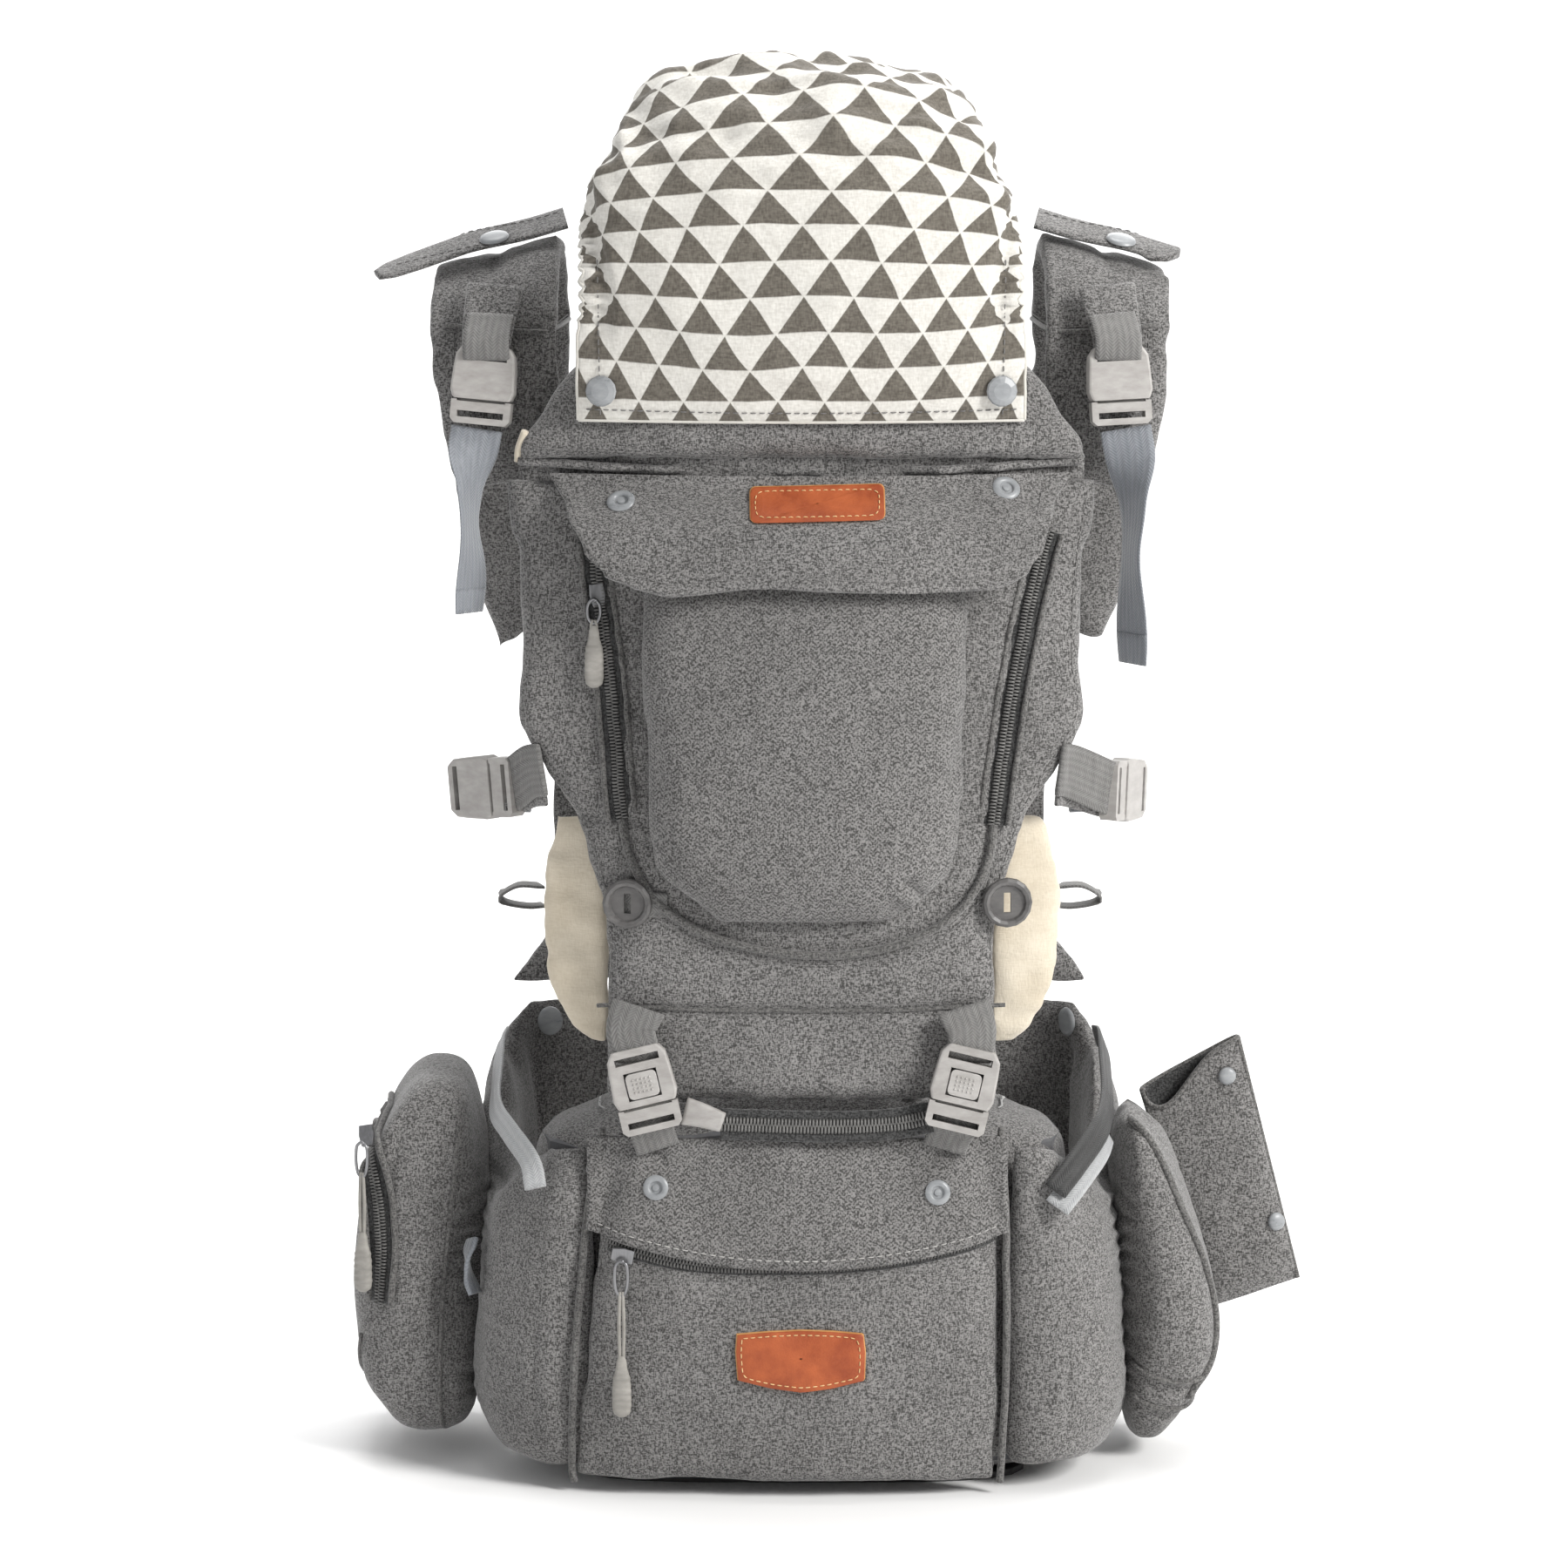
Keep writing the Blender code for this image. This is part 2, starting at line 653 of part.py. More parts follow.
def phone_pouch():
    """An open-topped pouch that hangs from one side edge and swings like a door."""
    bm = cut_cube((5, 2, 6))
    lid = [face for face in bm.faces if face.calc_center_median().z > 0.99]
    bmesh.ops.delete(bm, geom=lid, context="FACES")
    foot, far_foot, far_top, top = (Vector(c) for c in PHONE_CORNERS)
    for vertex in bm.verts:
        u, v, w = vertex.co
        low = foot.lerp(far_foot, (u + 1) / 2)
        high = top.lerp(far_top, (u + 1) / 2)
        at = low.lerp(high, (w + 1) / 2)
        plump = 1 - 0.35 * max(abs(u), max(-w, 0)) ** 4
        y = PHONE_REAR - PHONE_DEPTH / 2 + v * PHONE_DEPTH / 2 * plump
        vertex.co = Vector((at.x, y, at.y)) * MM
    mesh = bpy.data.meshes.new("phone_pouch")
    bm.to_mesh(mesh)
    bm.free()
    pouch = add_object("phone_pouch", mesh, "grey_fabric")
    move_origin(pouch, (foot.x, PHONE_REAR, foot.y))
    wall = pouch.modifiers.new("Wall", "SOLIDIFY")
    wall.thickness = PHONE_WALL * MM
    wall.offset = -1


# Panel

def main_panel():
    pad("main_panel", (8, 13), (PANEL_BOTTOM, PANEL_TOP), panel_edge,
        lambda x, z: panel_front(x, z) + PANEL_THICKNESS, lambda u, w: PANEL_THICKNESS, "grey_fabric")


def leg_pads():
    for side, name in ((-1, "leg_pad_left"), (1, "leg_pad_right")):
        def edges(z):
            outer = between(((197, 96), (206, 106), (216, 112), (240, 118), (270, 119), (307, 112)), z)
            return sorted((side * 84, side * outer))

        def back(x, z):
            return panel_front(x, z) + PANEL_THICKNESS + 14 + 0.08 * max(0, 250 - z)

        pad(name, (4, 10), (197, 307), edges, back,
            lambda u, w: 12 * (1 - 0.4 * abs(w) ** 4), "cream_cotton")


def chest_pocket():
    def edges(z):
        half = between(((256, 42), (262, 56), (275, 68), (297, 75), (340, 77), (410, 80), (440, 82)), z)
        return -half + 2, half + 1

    def depth(u, w):
        z = blend(256, 440, (w + 1) / 2)
        full = panel_front(0, z) - GAP - pocket_front(0, z)
        return max(4, full * (1 - 0.55 * abs(u) ** 5))

    pad("chest_pocket", (8, 8), (256, 440), edges,
        lambda x, z: panel_front(x, z) - GAP, depth, "grey_fabric")


def chest_zip():
    def line(z):
        """The coil's x at a height, down the pocket's left side."""
        return between(((320, -81.5), (360, -84), (412, -91)), z)

    def place(u, v, w):
        z = blend(322, 426, (w + 1) / 2)
        x = line(z) + u * 2.4
        return x, panel_front(x, z) - 1.3 + v * 0.5, z
    block("chest_zip_chain", (1, 1, 10), place, "zip_coil")
    at = Vector((line(407), panel_front(-90, 407) - 3.4, 406))
    slider = zip_slider("chest_zip_slider", at, (-0.12, 0.08, 1), (0, -1, 0))
    zip_pull("chest_zip_pull", slider, at + Vector((-1.5, -5.2, -3)), 38, (0, -1, 0))


FLAP_TOP, FLAP_THICKNESS = 459.0, 3.0


def flap_surface(x, z):
    """Middle of the pocket flap, which hangs from the panel's top over the pocket."""
    out = between(((408, 29), (432, 24), (FLAP_TOP, 3.4)), z)
    return panel_front(x, z) - out


def pocket_flap():
    def place(u, v):
        share = (v + 1) / 2
        half = between(((0, 64), (0.18, 90), (0.4, 102), (0.75, 110), (1, 114)), share)
        x = u * half + 2
        low = 412 + 5 * max(0, u)
        z = blend(low, FLAP_TOP, share)
        return x, flap_surface(x, z), z
    flap = sheet("pocket_flap", (10, 6), place, FLAP_THICKNESS, "grey_fabric")
    move_origin(flap, (0, panel_front(0, FLAP_TOP) - 3.4, FLAP_TOP))
    top = Vector((7, flap_surface(7, 459), 459))
    low = Vector((7, flap_surface(7, 440), 440))
    frame = axes_at((7, flap_surface(7, 449) - 5.4, 449), top - low, (0, -1, 0))
    patch = plate("flap_patch", rounded_rectangle(60, 15, 2.5, 3), 1.6, "leather", frame)
    join_to(patch, flap)


def ring_buttons():
    """Flat rings, each on a short strap at the panel's edge, with a slot for the strap."""
    profile = [(0, 1.6), (7.6, 1.6), (8.4, 3.2), (9.8, 3.8), (11.0, 3.0), (11.4, 1.4),
               (10.6, 0.2), (0, 0)]
    for side, x, name in ((-1, -77.5, "ring_button_left"), (1, 92, "ring_button_right")):
        ring = turned(name, profile, "ring_plastic", steps=16)
        ring.location = Vector((x, panel_front(x, 269) - 3.4, 269)) * MM
        bpy.context.view_layer.update()
        ring.rotation_euler.z = side * math.radians(8)
        cut_box(ring, (0, 0, 0), (3.2, 9, 12))


# Headrest and hood

def headrest():
    def edges(z):
        half = between(((461, 129), (470, 127), (490, 115), (506, 102), (518, 90)), z)
        return -half, half

    rest = pad("headrest", (8, 5), (HEADREST_BOTTOM, HEADREST_TOP), edges,
               lambda x, z: headrest_front(x, z) + HEADREST_THICKNESS,
               lambda u, w: HEADREST_THICKNESS * (1 - 0.3 * abs(w) ** 6), "grey_fabric")
    move_origin(rest, (0, headrest_front(0, HEADREST_BOTTOM), HEADREST_BOTTOM))
    return rest


HOOD_AXIS = (-50.0, 519.0)   # y and z of the line that the hood swings about
HOOD_SPINE = [(0, -73.5, 484), (0, -80, 508), (0, -86, 540), (0, -83, 580), (0, -66, 616),
              (0, -36, 638), (0, -8, 641), (0, 14, 626), (0, 24, 600)]


def hood_point(u, v):
    """u runs across the hood and v from its front hem over the crown to its back hem."""
    share = (v + 1) / 2
    spine = smooth_path(HOOD_SPINE, 101)[round(share * 100)]
    half = between(((0, HOOD_HALF_WIDTH), (0.4, HOOD_HALF_WIDTH), (0.62, 88), (0.8, 78), (1, 74)), share)
    wrap = between(((0, 0.0), (0.18, 0.1), (0.5, 0.8), (1, 0.9)), share)
    x = half * blend(u, math.sin(u * math.pi / 2), wrap)
    inward = (Vector((0, -14, 545)) - spine).normalized()
    side_drop = between(((0, 0), (0.2, 14), (0.45, 34), (0.7, 46), (1, 30)), share)
    at = spine + inward * side_drop * abs(u) ** 2.6
    flat = 1 - smoothstep(share * 4)
    return x, at.y + flat * body_bow(x), at.z


def hood(rest):
    shell = sheet("hood", (14, 11), hood_point, HOOD_THICKNESS, "print_cotton")
    move_origin(shell, (0, HOOD_AXIS[0], HOOD_AXIS[1]))
    join_to(shell, rest)
    for side, name in ((-1, "hood_snap_left"), (1, "hood_snap_right")):
        profile = [(0, 2.6), (4, 2.4), (6.4, 1.5), (7.0, 0.6), (6.6, 0), (0, 0)]
        cap = turned(name, profile, "snap_plastic", steps=14)
        at = Vector(hood_point(side * 0.88, -0.9))
        cap.location = (at + Vector((side * 0.4, -2.4, 0))) * MM
        cap.rotation_euler.z = side * math.radians(10)
        join_to(cap, shell)


# Shoulder straps and yoke

STRAP_LINE = [(131, -25, 449), (136, -27, 492), (138, -19, 528), (137, 8, 549), (136, 38, 545),
              (134, 62, 518), (129, 80, 474), (118, 94, 426), (108, 101, 399)]


def strap_across(side):
    def across(share):
        tilt = between(((0, 0.05), (0.2, 0.1), (0.42, 0.29), (0.6, 0.15), (1, -0.05)), share)
        return -side, 0, tilt
    return across


def shoulder_straps():
    for side, name in ((-1, "shoulder_strap_left"), (1, "shoulder_strap_right")):
        path = [(side * x, y, z) for x, y, z in STRAP_LINE]
        ribbon(name, path, strap_across(side),
               lambda s: between(((0, 54), (0.15, STRAP_WIDTH), (0.9, STRAP_WIDTH), (1, 58)), s),
               STRAP_THICKNESS, "grey_fabric", (2, 20))


def strap_tabs():
    """Short tabs that lie across the top of each shoulder strap and lift from its inner edge."""
    for side, name, reach in ((-1, "strap_tab_left", 192), (1, "strap_tab_right", 168)):
        path = [(side * 107, 12, 569), (side * 125, 11, 563.8), (side * 147, 8, 559),
                (side * 160, 5, 555), (side * reach, -4, 544 if side < 0 else 552)]
        tab = ribbon(name, path, lambda s: (0, 1, 0), lambda s: blend(30, 24, s), 2.4, "grey_fabric", (2, 10))
        move_origin(tab, path[0])


def back_yoke():
    def edges(z):
        half = between(((193, 143), (205, 128), (240, 124), (300, 124), (350, 130), (385, 134)), z)
        return -half, half
    pad("back_yoke", (8, 6), (YOKE_BOTTOM, YOKE_TOP), edges,
        lambda x, z: BELT_BACK_Y + 5 - 0.0004 * x * x, lambda u, w: 11.0, "grey_fabric")


def chest_strap():
    """A strap between the shoulder straps at the wearer's back, closed by a flat buckle."""
    for side, name in ((-1, "chest_strap_left"), (1, "chest_strap_right")):
        def place(u, v, w):
            share = (w + 1) / 2
            x = side * blend(0.6, 128, share)
            thick = between(((0, 8), (0.2, 8), (0.26, 1.8), (1, 1.8)), share)
            tall = between(((0, 27), (0.2, 27), (0.26, 20), (1, 20)), share)
            return x, 94.6 + v * thick / 2, 470 + u * tall / 2
        block(name, (1, 1, 12), place, "webbing")


def centre_frame():
    """Moves everything so that the origin is under the middle of the bounding box."""
    shift = Vector((CENTRE_X, CENTRE_Y, 0)) * MM
    for obj in parts.objects:
        if obj.parent is None:
            obj.matrix_world = Matrix.Translation(shift) @ obj.matrix_world


seat_cover()
seat_inside()
seat_top_pad()
front_panels()
front_zip()
front_patch()
belt_wings()
waist_closure()
pouch_left()
pod_right()
phone_pouch()
main_panel()
leg_pads()
chest_pocket()
chest_zip()
pocket_flap()
ring_buttons()
hood(headrest())
shoulder_straps()
strap_tabs()
back_yoke()
chest_strap()
lower_buckles()
top_buckles()
side_buckles()
bpy.context.view_layer.update()
centre_frame()
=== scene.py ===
import math

import bmesh
import bpy
import numpy as np
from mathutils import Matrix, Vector, noise
from mathutils.bvhtree import BVHTree


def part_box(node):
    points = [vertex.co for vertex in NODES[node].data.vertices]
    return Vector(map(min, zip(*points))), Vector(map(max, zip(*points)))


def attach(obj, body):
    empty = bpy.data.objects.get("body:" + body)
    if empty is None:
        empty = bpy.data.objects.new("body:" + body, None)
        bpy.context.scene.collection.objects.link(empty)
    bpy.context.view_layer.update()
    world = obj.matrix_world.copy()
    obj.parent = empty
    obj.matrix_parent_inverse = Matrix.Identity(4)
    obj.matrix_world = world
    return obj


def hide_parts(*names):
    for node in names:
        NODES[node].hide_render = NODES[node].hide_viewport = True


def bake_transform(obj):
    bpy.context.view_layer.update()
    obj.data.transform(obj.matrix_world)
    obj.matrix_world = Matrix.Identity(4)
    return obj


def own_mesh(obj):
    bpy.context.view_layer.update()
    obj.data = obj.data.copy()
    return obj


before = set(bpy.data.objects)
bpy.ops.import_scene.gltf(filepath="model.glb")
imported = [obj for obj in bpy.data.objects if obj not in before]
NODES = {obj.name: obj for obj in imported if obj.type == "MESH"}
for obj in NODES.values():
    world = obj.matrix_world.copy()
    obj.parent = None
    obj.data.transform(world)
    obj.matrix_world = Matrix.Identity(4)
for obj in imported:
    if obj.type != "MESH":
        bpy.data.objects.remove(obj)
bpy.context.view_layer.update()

# Lengths below are millimetres about the carrier's own centre plane, left is -X seen from the
# front, and metres() places them in the frame.
CENTRE = np.array([-12.75, -9.7, 0.0])
LENS, VIEW_TILT = 129.9, math.radians(81)
CAMERA_AT = (-0.02045, -2.5789, 0.7172)
PRINT_ROW, PRINT_REPEAT = 0.0158, 0.0222  # metres between the printed triangles
CLOTH_FRAMES = 20
scene = bpy.context.scene


def metres(points):
    return (np.asarray(points, float) + CENTRE) * 0.001


def millimetres(co):
    return np.asarray(co, float) * 1000 - CENTRE


# ---------------------------------------------------------------- camera, light, floor

def studio():
    camera = bpy.data.objects.new("camera", bpy.data.cameras.new("camera"))
    camera.data.lens = LENS
    camera.data.sensor_width = 36.0
    camera.data.clip_end = 60
    camera.location = CAMERA_AT
    camera.rotation_euler = (VIEW_TILT, 0, 0)
    scene.collection.objects.link(camera)
    scene.camera = camera

    def lamp(name, place, target, size, power, colour=(1, 1, 1)):
        light = bpy.data.lights.new(name, "AREA")
        light.shape = "RECTANGLE"
        light.size, light.size_y = size
        light.energy = power
        light.color = colour
        obj = bpy.data.objects.new(name, light)
        obj.location = place
        aim = Vector(target) - Vector(place)
        obj.rotation_euler = aim.to_track_quat("-Z", "Y").to_euler()
        scene.collection.objects.link(obj)

    lamp("key", (2.0, -1.5, 1.7), (0, 0, 0.3), (0.8, 1.1), 92, (1.0, 0.99, 0.97))
    lamp("fill", (-2.2, -1.6, 1.1), (0, 0, 0.3), (1.4, 1.6), 9, (0.97, 0.98, 1.0))
    lamp("top", (0.0, 0.2, 2.6), (0, 0, 0.2), (1.2, 1.0), 27)
    lamp("back", (0.3, 2.4, 1.5), (0, 0, 0.4), (2.0, 1.4), 20)
    lamp("wall", (0.0, 1.4, 4.2), (0, 3.6, 2.0), (5.0, 1.0), 150)

    world = bpy.data.worlds.new("studio")
    world.use_nodes = True
    sky = world.node_tree.nodes["Background"]
    sky.inputs["Color"].default_value = (1, 1, 1, 1)
    sky.inputs["Strength"].default_value = 0.34
    scene.world = world
    scene.view_settings.view_transform = "Standard"
    scene.view_settings.look = "None"

    bm = bmesh.new()
    rows = [(-6.0, 0.0), (2.4, 0.0)]
    rows += [(2.4 + 1.2 * math.sin(a), 1.2 - 1.2 * math.cos(a)) for a in np.linspace(0.1, math.pi / 2, 12)]
    rows += [(3.6, 7.0)]
    made = [[bm.verts.new((x, y, z)) for x in (-7, 7)] for y, z in rows]
    for (a, b), (c, d) in zip(made, made[1:]):
        bm.faces.new((a, b, d, c))
    mesh = bpy.data.meshes.new("studio_floor")
    bm.to_mesh(mesh)
    bm.free()
    mesh.shade_smooth()
    floor = bpy.data.objects.new("studio_floor", mesh)
    scene.collection.objects.link(floor)
    paint = bpy.data.materials.new("studio_floor")
    paint.use_nodes = True
    shader = paint.node_tree.nodes["Principled BSDF"]
    shader.inputs["Base Color"].default_value = (0.93, 0.93, 0.93, 1)
    shader.inputs["Roughness"].default_value = 0.9
    mesh.materials.append(paint)


studio()


# ---------------------------------------------------------------- materials


class Paint:
    """One procedural material: nodes are added by kind, and values or outputs set by name."""

    def __init__(self, name, slot, **constants):
        self.material = bpy.data.materials.new(name)
        self.material.use_nodes = True
        self.tree = self.material.node_tree
        self.shader = self.tree.nodes["Principled BSDF"]
        for key, value in constants.items():
            self.shader.inputs[key.replace("_", " ")].default_value = value

    def node(self, kind, inputs=(), **settings):
        made = self.tree.nodes.new("ShaderNode" + kind)
        for key, value in settings.items():
            setattr(made, key, value)
        for key, value in dict(inputs).items():
            if isinstance(value, bpy.types.NodeSocket):
                self.tree.links.new(value, made.inputs[key])
            else:
                made.inputs[key].default_value = value
        return made

    def math(self, operation, a, b=0.0, c=0.0):
        return self.node("Math", {0: a, 1: b, 2: c}, operation=operation).outputs[0]

    def mix(self, share, a, b, blend="MIX"):
        a, b = ((*c, 1.0) if isinstance(c, tuple) else c for c in (a, b))
        made = self.node("Mix", {0: share, 6: a, 7: b}, data_type="RGBA", blend_type=blend)
        return made.outputs[2]

    def ranged(self, value, low, high, to_low=0.0, to_high=1.0):
        return self.node("MapRange", {0: value, 1: low, 2: high, 3: to_low, 4: to_high}).outputs[0]

    def noise(self, coords, scale, detail=2.0, rough=0.5):
        return self.node("TexNoise", {"Vector": coords, "Scale": scale, "Detail": detail,
                                      "Roughness": rough}).outputs[0]

    def place(self, stretch=(1, 1, 1), source="Object", turn=(0, 0, 0)):
        coords = self.node("TexCoord").outputs[source]
        return self.node("Mapping", {0: coords, 2: turn, 3: stretch}).outputs[0]

    def finish(self, colour=None, height=None, roughness=None, strength=0.4, distance=0.0005):
        if colour is not None:
            self.tree.links.new(colour, self.shader.inputs["Base Color"])
        if roughness is not None:
            self.tree.links.new(roughness, self.shader.inputs["Roughness"])
        if height is not None:
            bump = self.node("Bump", {"Strength": strength, "Distance": distance, "Height": height})
            self.tree.links.new(bump.outputs[0], self.shader.inputs["Normal"])
        return self.material


def melange(name, dark, light, herringbone=0.0):
    """Heathered cloth: dark and light threads in short streaks both ways, and a slight weave."""
    grain, blotch = 1700, 0.10
    p = Paint(name, "grey_fabric", Roughness=0.93, Sheen_Weight=0.25, Sheen_Roughness=0.5,
              Specular_IOR_Level=0.2)
    down = p.noise(p.place((1, 1, 0.4)), grain, 1.5)
    over = p.noise(p.place((0.4, 0.4, 1)), grain, 1.5)
    thread = p.math("MULTIPLY", p.math("ADD", down, over), 0.5)
    if herringbone:
        x, _, z = (p.node("SeparateXYZ", {0: p.place()}).outputs[i] for i in range(3))
        zigzag = p.math("PINGPONG", x, 0.0021)
        twill = p.math("SINE", p.math("MULTIPLY", p.math("ADD", zigzag, z), 3300.0))
        thread = p.math("ADD", thread, p.math("MULTIPLY", twill, herringbone))
    share = p.ranged(thread, 0.41, 0.59)
    base = p.mix(share, dark, light)
    cloud = p.ranged(p.noise(p.place(), 22, 3), 0.3, 0.7, 1 - blotch, 1 + blotch)
    tone = p.node("CombineColor", {0: cloud, 1: cloud, 2: cloud}).outputs[0]
    colour = p.mix(1.0, base, tone, "MULTIPLY")
    wave = p.noise(p.place(), 120, 2)
    height = p.math("ADD", thread, p.math("MULTIPLY", wave, 0.8))
    return p.finish(colour, height, strength=0.55, distance=0.0006)


def printed_cotton():
    """Cream cloth printed with rows of dark triangles; the cloth's own metres are its UV."""
    p = Paint("hood_print", "print_cotton", Roughness=0.9, Sheen_Weight=0.2, Specular_IOR_Level=0.2)
    uv = p.node("UVMap", uv_map="cloth").outputs[0]
    u, v, _ = (p.node("SeparateXYZ", {0: uv}).outputs[i] for i in range(3))
    small = p.math("MULTIPLY", p.math("SUBTRACT", p.noise(p.place(), 60, 2), 0.5), 0.0012)
    large = p.math("MULTIPLY", p.math("SUBTRACT", p.noise(p.place(), 13, 2), 0.5), 0.0090)
    wobble = p.math("ADD", small, large)
    row = p.math("DIVIDE", p.math("ADD", v, wobble), PRINT_ROW)
    index = p.math("FLOOR", row)
    up = p.math("FRACT", row)
    shift = p.math("MULTIPLY", p.math("MODULO", index, 2.0), 0.5)
    across = p.math("FRACT", p.math("ADD", p.math("DIVIDE", p.math("ADD", u, wobble), PRINT_REPEAT), shift))
    away = p.math("ABSOLUTE", p.math("SUBTRACT", across, 0.5))
    slope = p.math("MULTIPLY", p.math("SUBTRACT", 1.0, up), 0.485)
    inside = p.ranged(p.math("SUBTRACT", slope, away), -0.012, 0.012)
    above = p.ranged(up, 0.02, 0.06)
    inked = p.math("MULTIPLY", inside, above)
    threads = p.noise(p.place((1, 1, 0.3)), 1100, 1.5)
    threads2 = p.noise(p.place((0.3, 0.3, 1)), 1100, 1.5)
    weave = p.math("MULTIPLY", p.math("ADD", threads, threads2), 0.5)
    cloth = p.mix(p.ranged(weave, 0.35, 0.65), (0.53, 0.512, 0.474), (0.66, 0.645, 0.606))
    ink = p.mix(p.ranged(weave, 0.35, 0.65), (0.085, 0.075, 0.062), (0.16, 0.145, 0.122))
    wave = p.noise(p.place(), 140, 2)
    height = p.math("ADD", weave, wave)
    return p.finish(p.mix(inked, cloth, ink), height, strength=0.4, distance=0.0005)


def plain_cotton(name, slot, low, high):
    p = Paint(name, slot, Roughness=0.92, Sheen_Weight=0.3, Specular_IOR_Level=0.2)
    down = p.noise(p.place((1, 1, 0.25)), 1200, 1.5)
    over = p.noise(p.place((0.25, 0.25, 1)), 1200, 1.5)
    weave = p.math("ADD", down, over)
    soft = p.noise(p.place(), 35, 3)
    colour = p.mix(p.ranged(p.math("ADD", p.math("MULTIPLY", weave, 0.3), soft), 0.5, 1.1), low, high)
    return p.finish(colour, p.math("ADD", weave, p.noise(p.place(), 150, 2)), strength=0.4, distance=0.0005)


def moulded(name, slot, low, high, roughness=0.42, grain=2600):
    """Moulded plastic or rubber with a fine spark texture and slight scuffs."""
    p = Paint(name, slot, Roughness=roughness)
    spark = p.noise(p.place(), grain, 1)
    scuff = p.noise(p.place((1, 1, 2.5)), 90, 4, 0.65)
    colour = p.mix(p.ranged(scuff, 0.35, 0.7), low, high)
    rough = p.ranged(scuff, 0.3, 0.7, roughness - 0.06, roughness + 0.1)
    return p.finish(colour, spark, rough, strength=0.12, distance=0.0002)


def ribbed_webbing(name, slot, low, high, roughness=0.55, sheen=0.5):
    """Woven strap: cross ribs and lengthwise cords, from the strap's own UV in metres."""
    p = Paint(name, slot, Roughness=roughness, Sheen_Weight=sheen, Sheen_Roughness=0.35,
              Specular_IOR_Level=0.5)
    uv = p.node("UVMap", uv_map="cloth").outputs[0]
    u, v, _ = (p.node("SeparateXYZ", {0: uv}).outputs[i] for i in range(3))
    zigzag = p.math("PINGPONG", u, 0.0030)
    ribs = p.math("SINE", p.math("MULTIPLY", p.math("ADD", v, zigzag), 4200.0))
    cords = p.math("SINE", p.math("MULTIPLY", u, 2090.0))
    weave = p.math("ADD", p.math("MULTIPLY", ribs, 0.6), p.math("MULTIPLY", cords, 0.4))
    streak = p.noise(p.place((1, 1, 0.15)), 500, 2)
    share = p.math("ADD", p.ranged(weave, -1, 1, 0.0, 0.45), p.math("MULTIPLY", streak, 0.55))
    return p.finish(p.mix(share, low, high), weave, strength=0.5, distance=0.0003)


def grained_leather(name, low, high, roughness=0.5):
    p = Paint(name, "leather", Roughness=roughness, Specular_IOR_Level=0.4)
    cells = p.node("TexVoronoi", {"Vector": p.place(), "Scale": 1100.0}).outputs[0]
    stain = p.noise(p.place(), 70, 4, 0.6)
    colour = p.mix(p.ranged(stain, 0.35, 0.68), low, high)
    rough = p.ranged(stain, 0.3, 0.7, roughness - 0.08, roughness + 0.12)
    return p.finish(colour, cells, rough, strength=0.3, distance=0.0003)


def open_mesh():
    """Spacer mesh: pale threads in a honeycomb, the holes painted near-black as the shade down inside them.
    """
    p = Paint("spacer_mesh", "mesh_fabric", Roughness=0.85, Sheen_Weight=0.2, Specular_IOR_Level=0.2)
    cells = p.node("TexVoronoi", {"Vector": p.place((1, 0.75, 1)), "Scale": 420.0,
                                  "Randomness": 0.25}).outputs[0]
    hole = p.ranged(cells, 0.28, 0.42)
    # the holes' near-black is painted shade
    colour = p.mix(hole, (0.05, 0.05, 0.05), (0.34, 0.34, 0.335))
    return p.finish(colour, hole, strength=0.8, distance=0.0008)


def brushed_metal(name, low, high):
    p = Paint(name, "zip_metal", Metallic=1.0, Roughness=0.32)
    grain = p.noise(p.place((1, 1, 0.2)), 900, 3)
    return p.finish(p.mix(grain, low, high), grain, p.ranged(grain, 0.2, 0.8, 0.26, 0.42), strength=0.08,
                    distance=0.0002)


GREY = melange("grey_cloth", (0.050, 0.0485, 0.047), (0.235, 0.229, 0.225))
TWILL = melange("grey_herringbone", (0.050, 0.0485, 0.047), (0.225, 0.219, 0.215),
                herringbone=0.045)
SEAM = melange("grey_piping", (0.055, 0.053, 0.052), (0.17, 0.166, 0.16))
# near-black cloth that is painted shade: the zip tapes down in their grooves and the inside of the phone
# pouch
SHADE_CLOTH = melange("painted_shade_cloth", (0.018, 0.018, 0.018), (0.07, 0.07, 0.07))
PRINT = printed_cotton()
CREAM = plain_cotton("cream_cotton", "cream_cotton", (0.50, 0.435, 0.335), (0.68, 0.62, 0.515))
EDGING = plain_cotton("pale_edging", "print_cotton", (0.52, 0.50, 0.455), (0.65, 0.633, 0.59))
MESH = open_mesh()
PLASTIC = moulded("buckle_plastic", "buckle_plastic", (0.30, 0.285, 0.272), (0.40, 0.385, 0.37), 0.45)
BUTTON = moulded("button_plastic", "buckle_plastic", (0.34, 0.325, 0.31), (0.44, 0.425, 0.41), 0.5)
RINGS = moulded("ring_plastic", "ring_plastic", (0.075, 0.072, 0.071), (0.13, 0.125, 0.122), 0.38)
SNAPS = moulded("snap_plastic", "snap_plastic", (0.22, 0.23, 0.24), (0.31, 0.32, 0.33), 0.3)
RUBBER = moulded("pull_rubber", "pull_rubber", (0.24, 0.23, 0.21), (0.33, 0.315, 0.29), 0.62)
COIL = moulded("zip_coil", "zip_coil", (0.10, 0.098, 0.095), (0.17, 0.166, 0.16), 0.42)
SOLE = moulded("sole_rubber", "sole_rubber", (0.03, 0.03, 0.03), (0.06, 0.06, 0.06), 0.75, 900)
FOAM = moulded("seat_foam", "seat_foam", (0.07, 0.07, 0.075), (0.13, 0.13, 0.135), 0.85, 700)
WEBBING = ribbed_webbing("strap_webbing", "webbing", (0.115, 0.125, 0.142), (0.27, 0.285, 0.31))
PALE_WEBBING = ribbed_webbing("pale_webbing", "webbing", (0.24, 0.247, 0.254), (0.46, 0.467, 0.475))
GREY_WEBBING = ribbed_webbing("grey_webbing", "webbing", (0.075, 0.073, 0.07), (0.24, 0.236, 0.23), 0.8, 0.2)
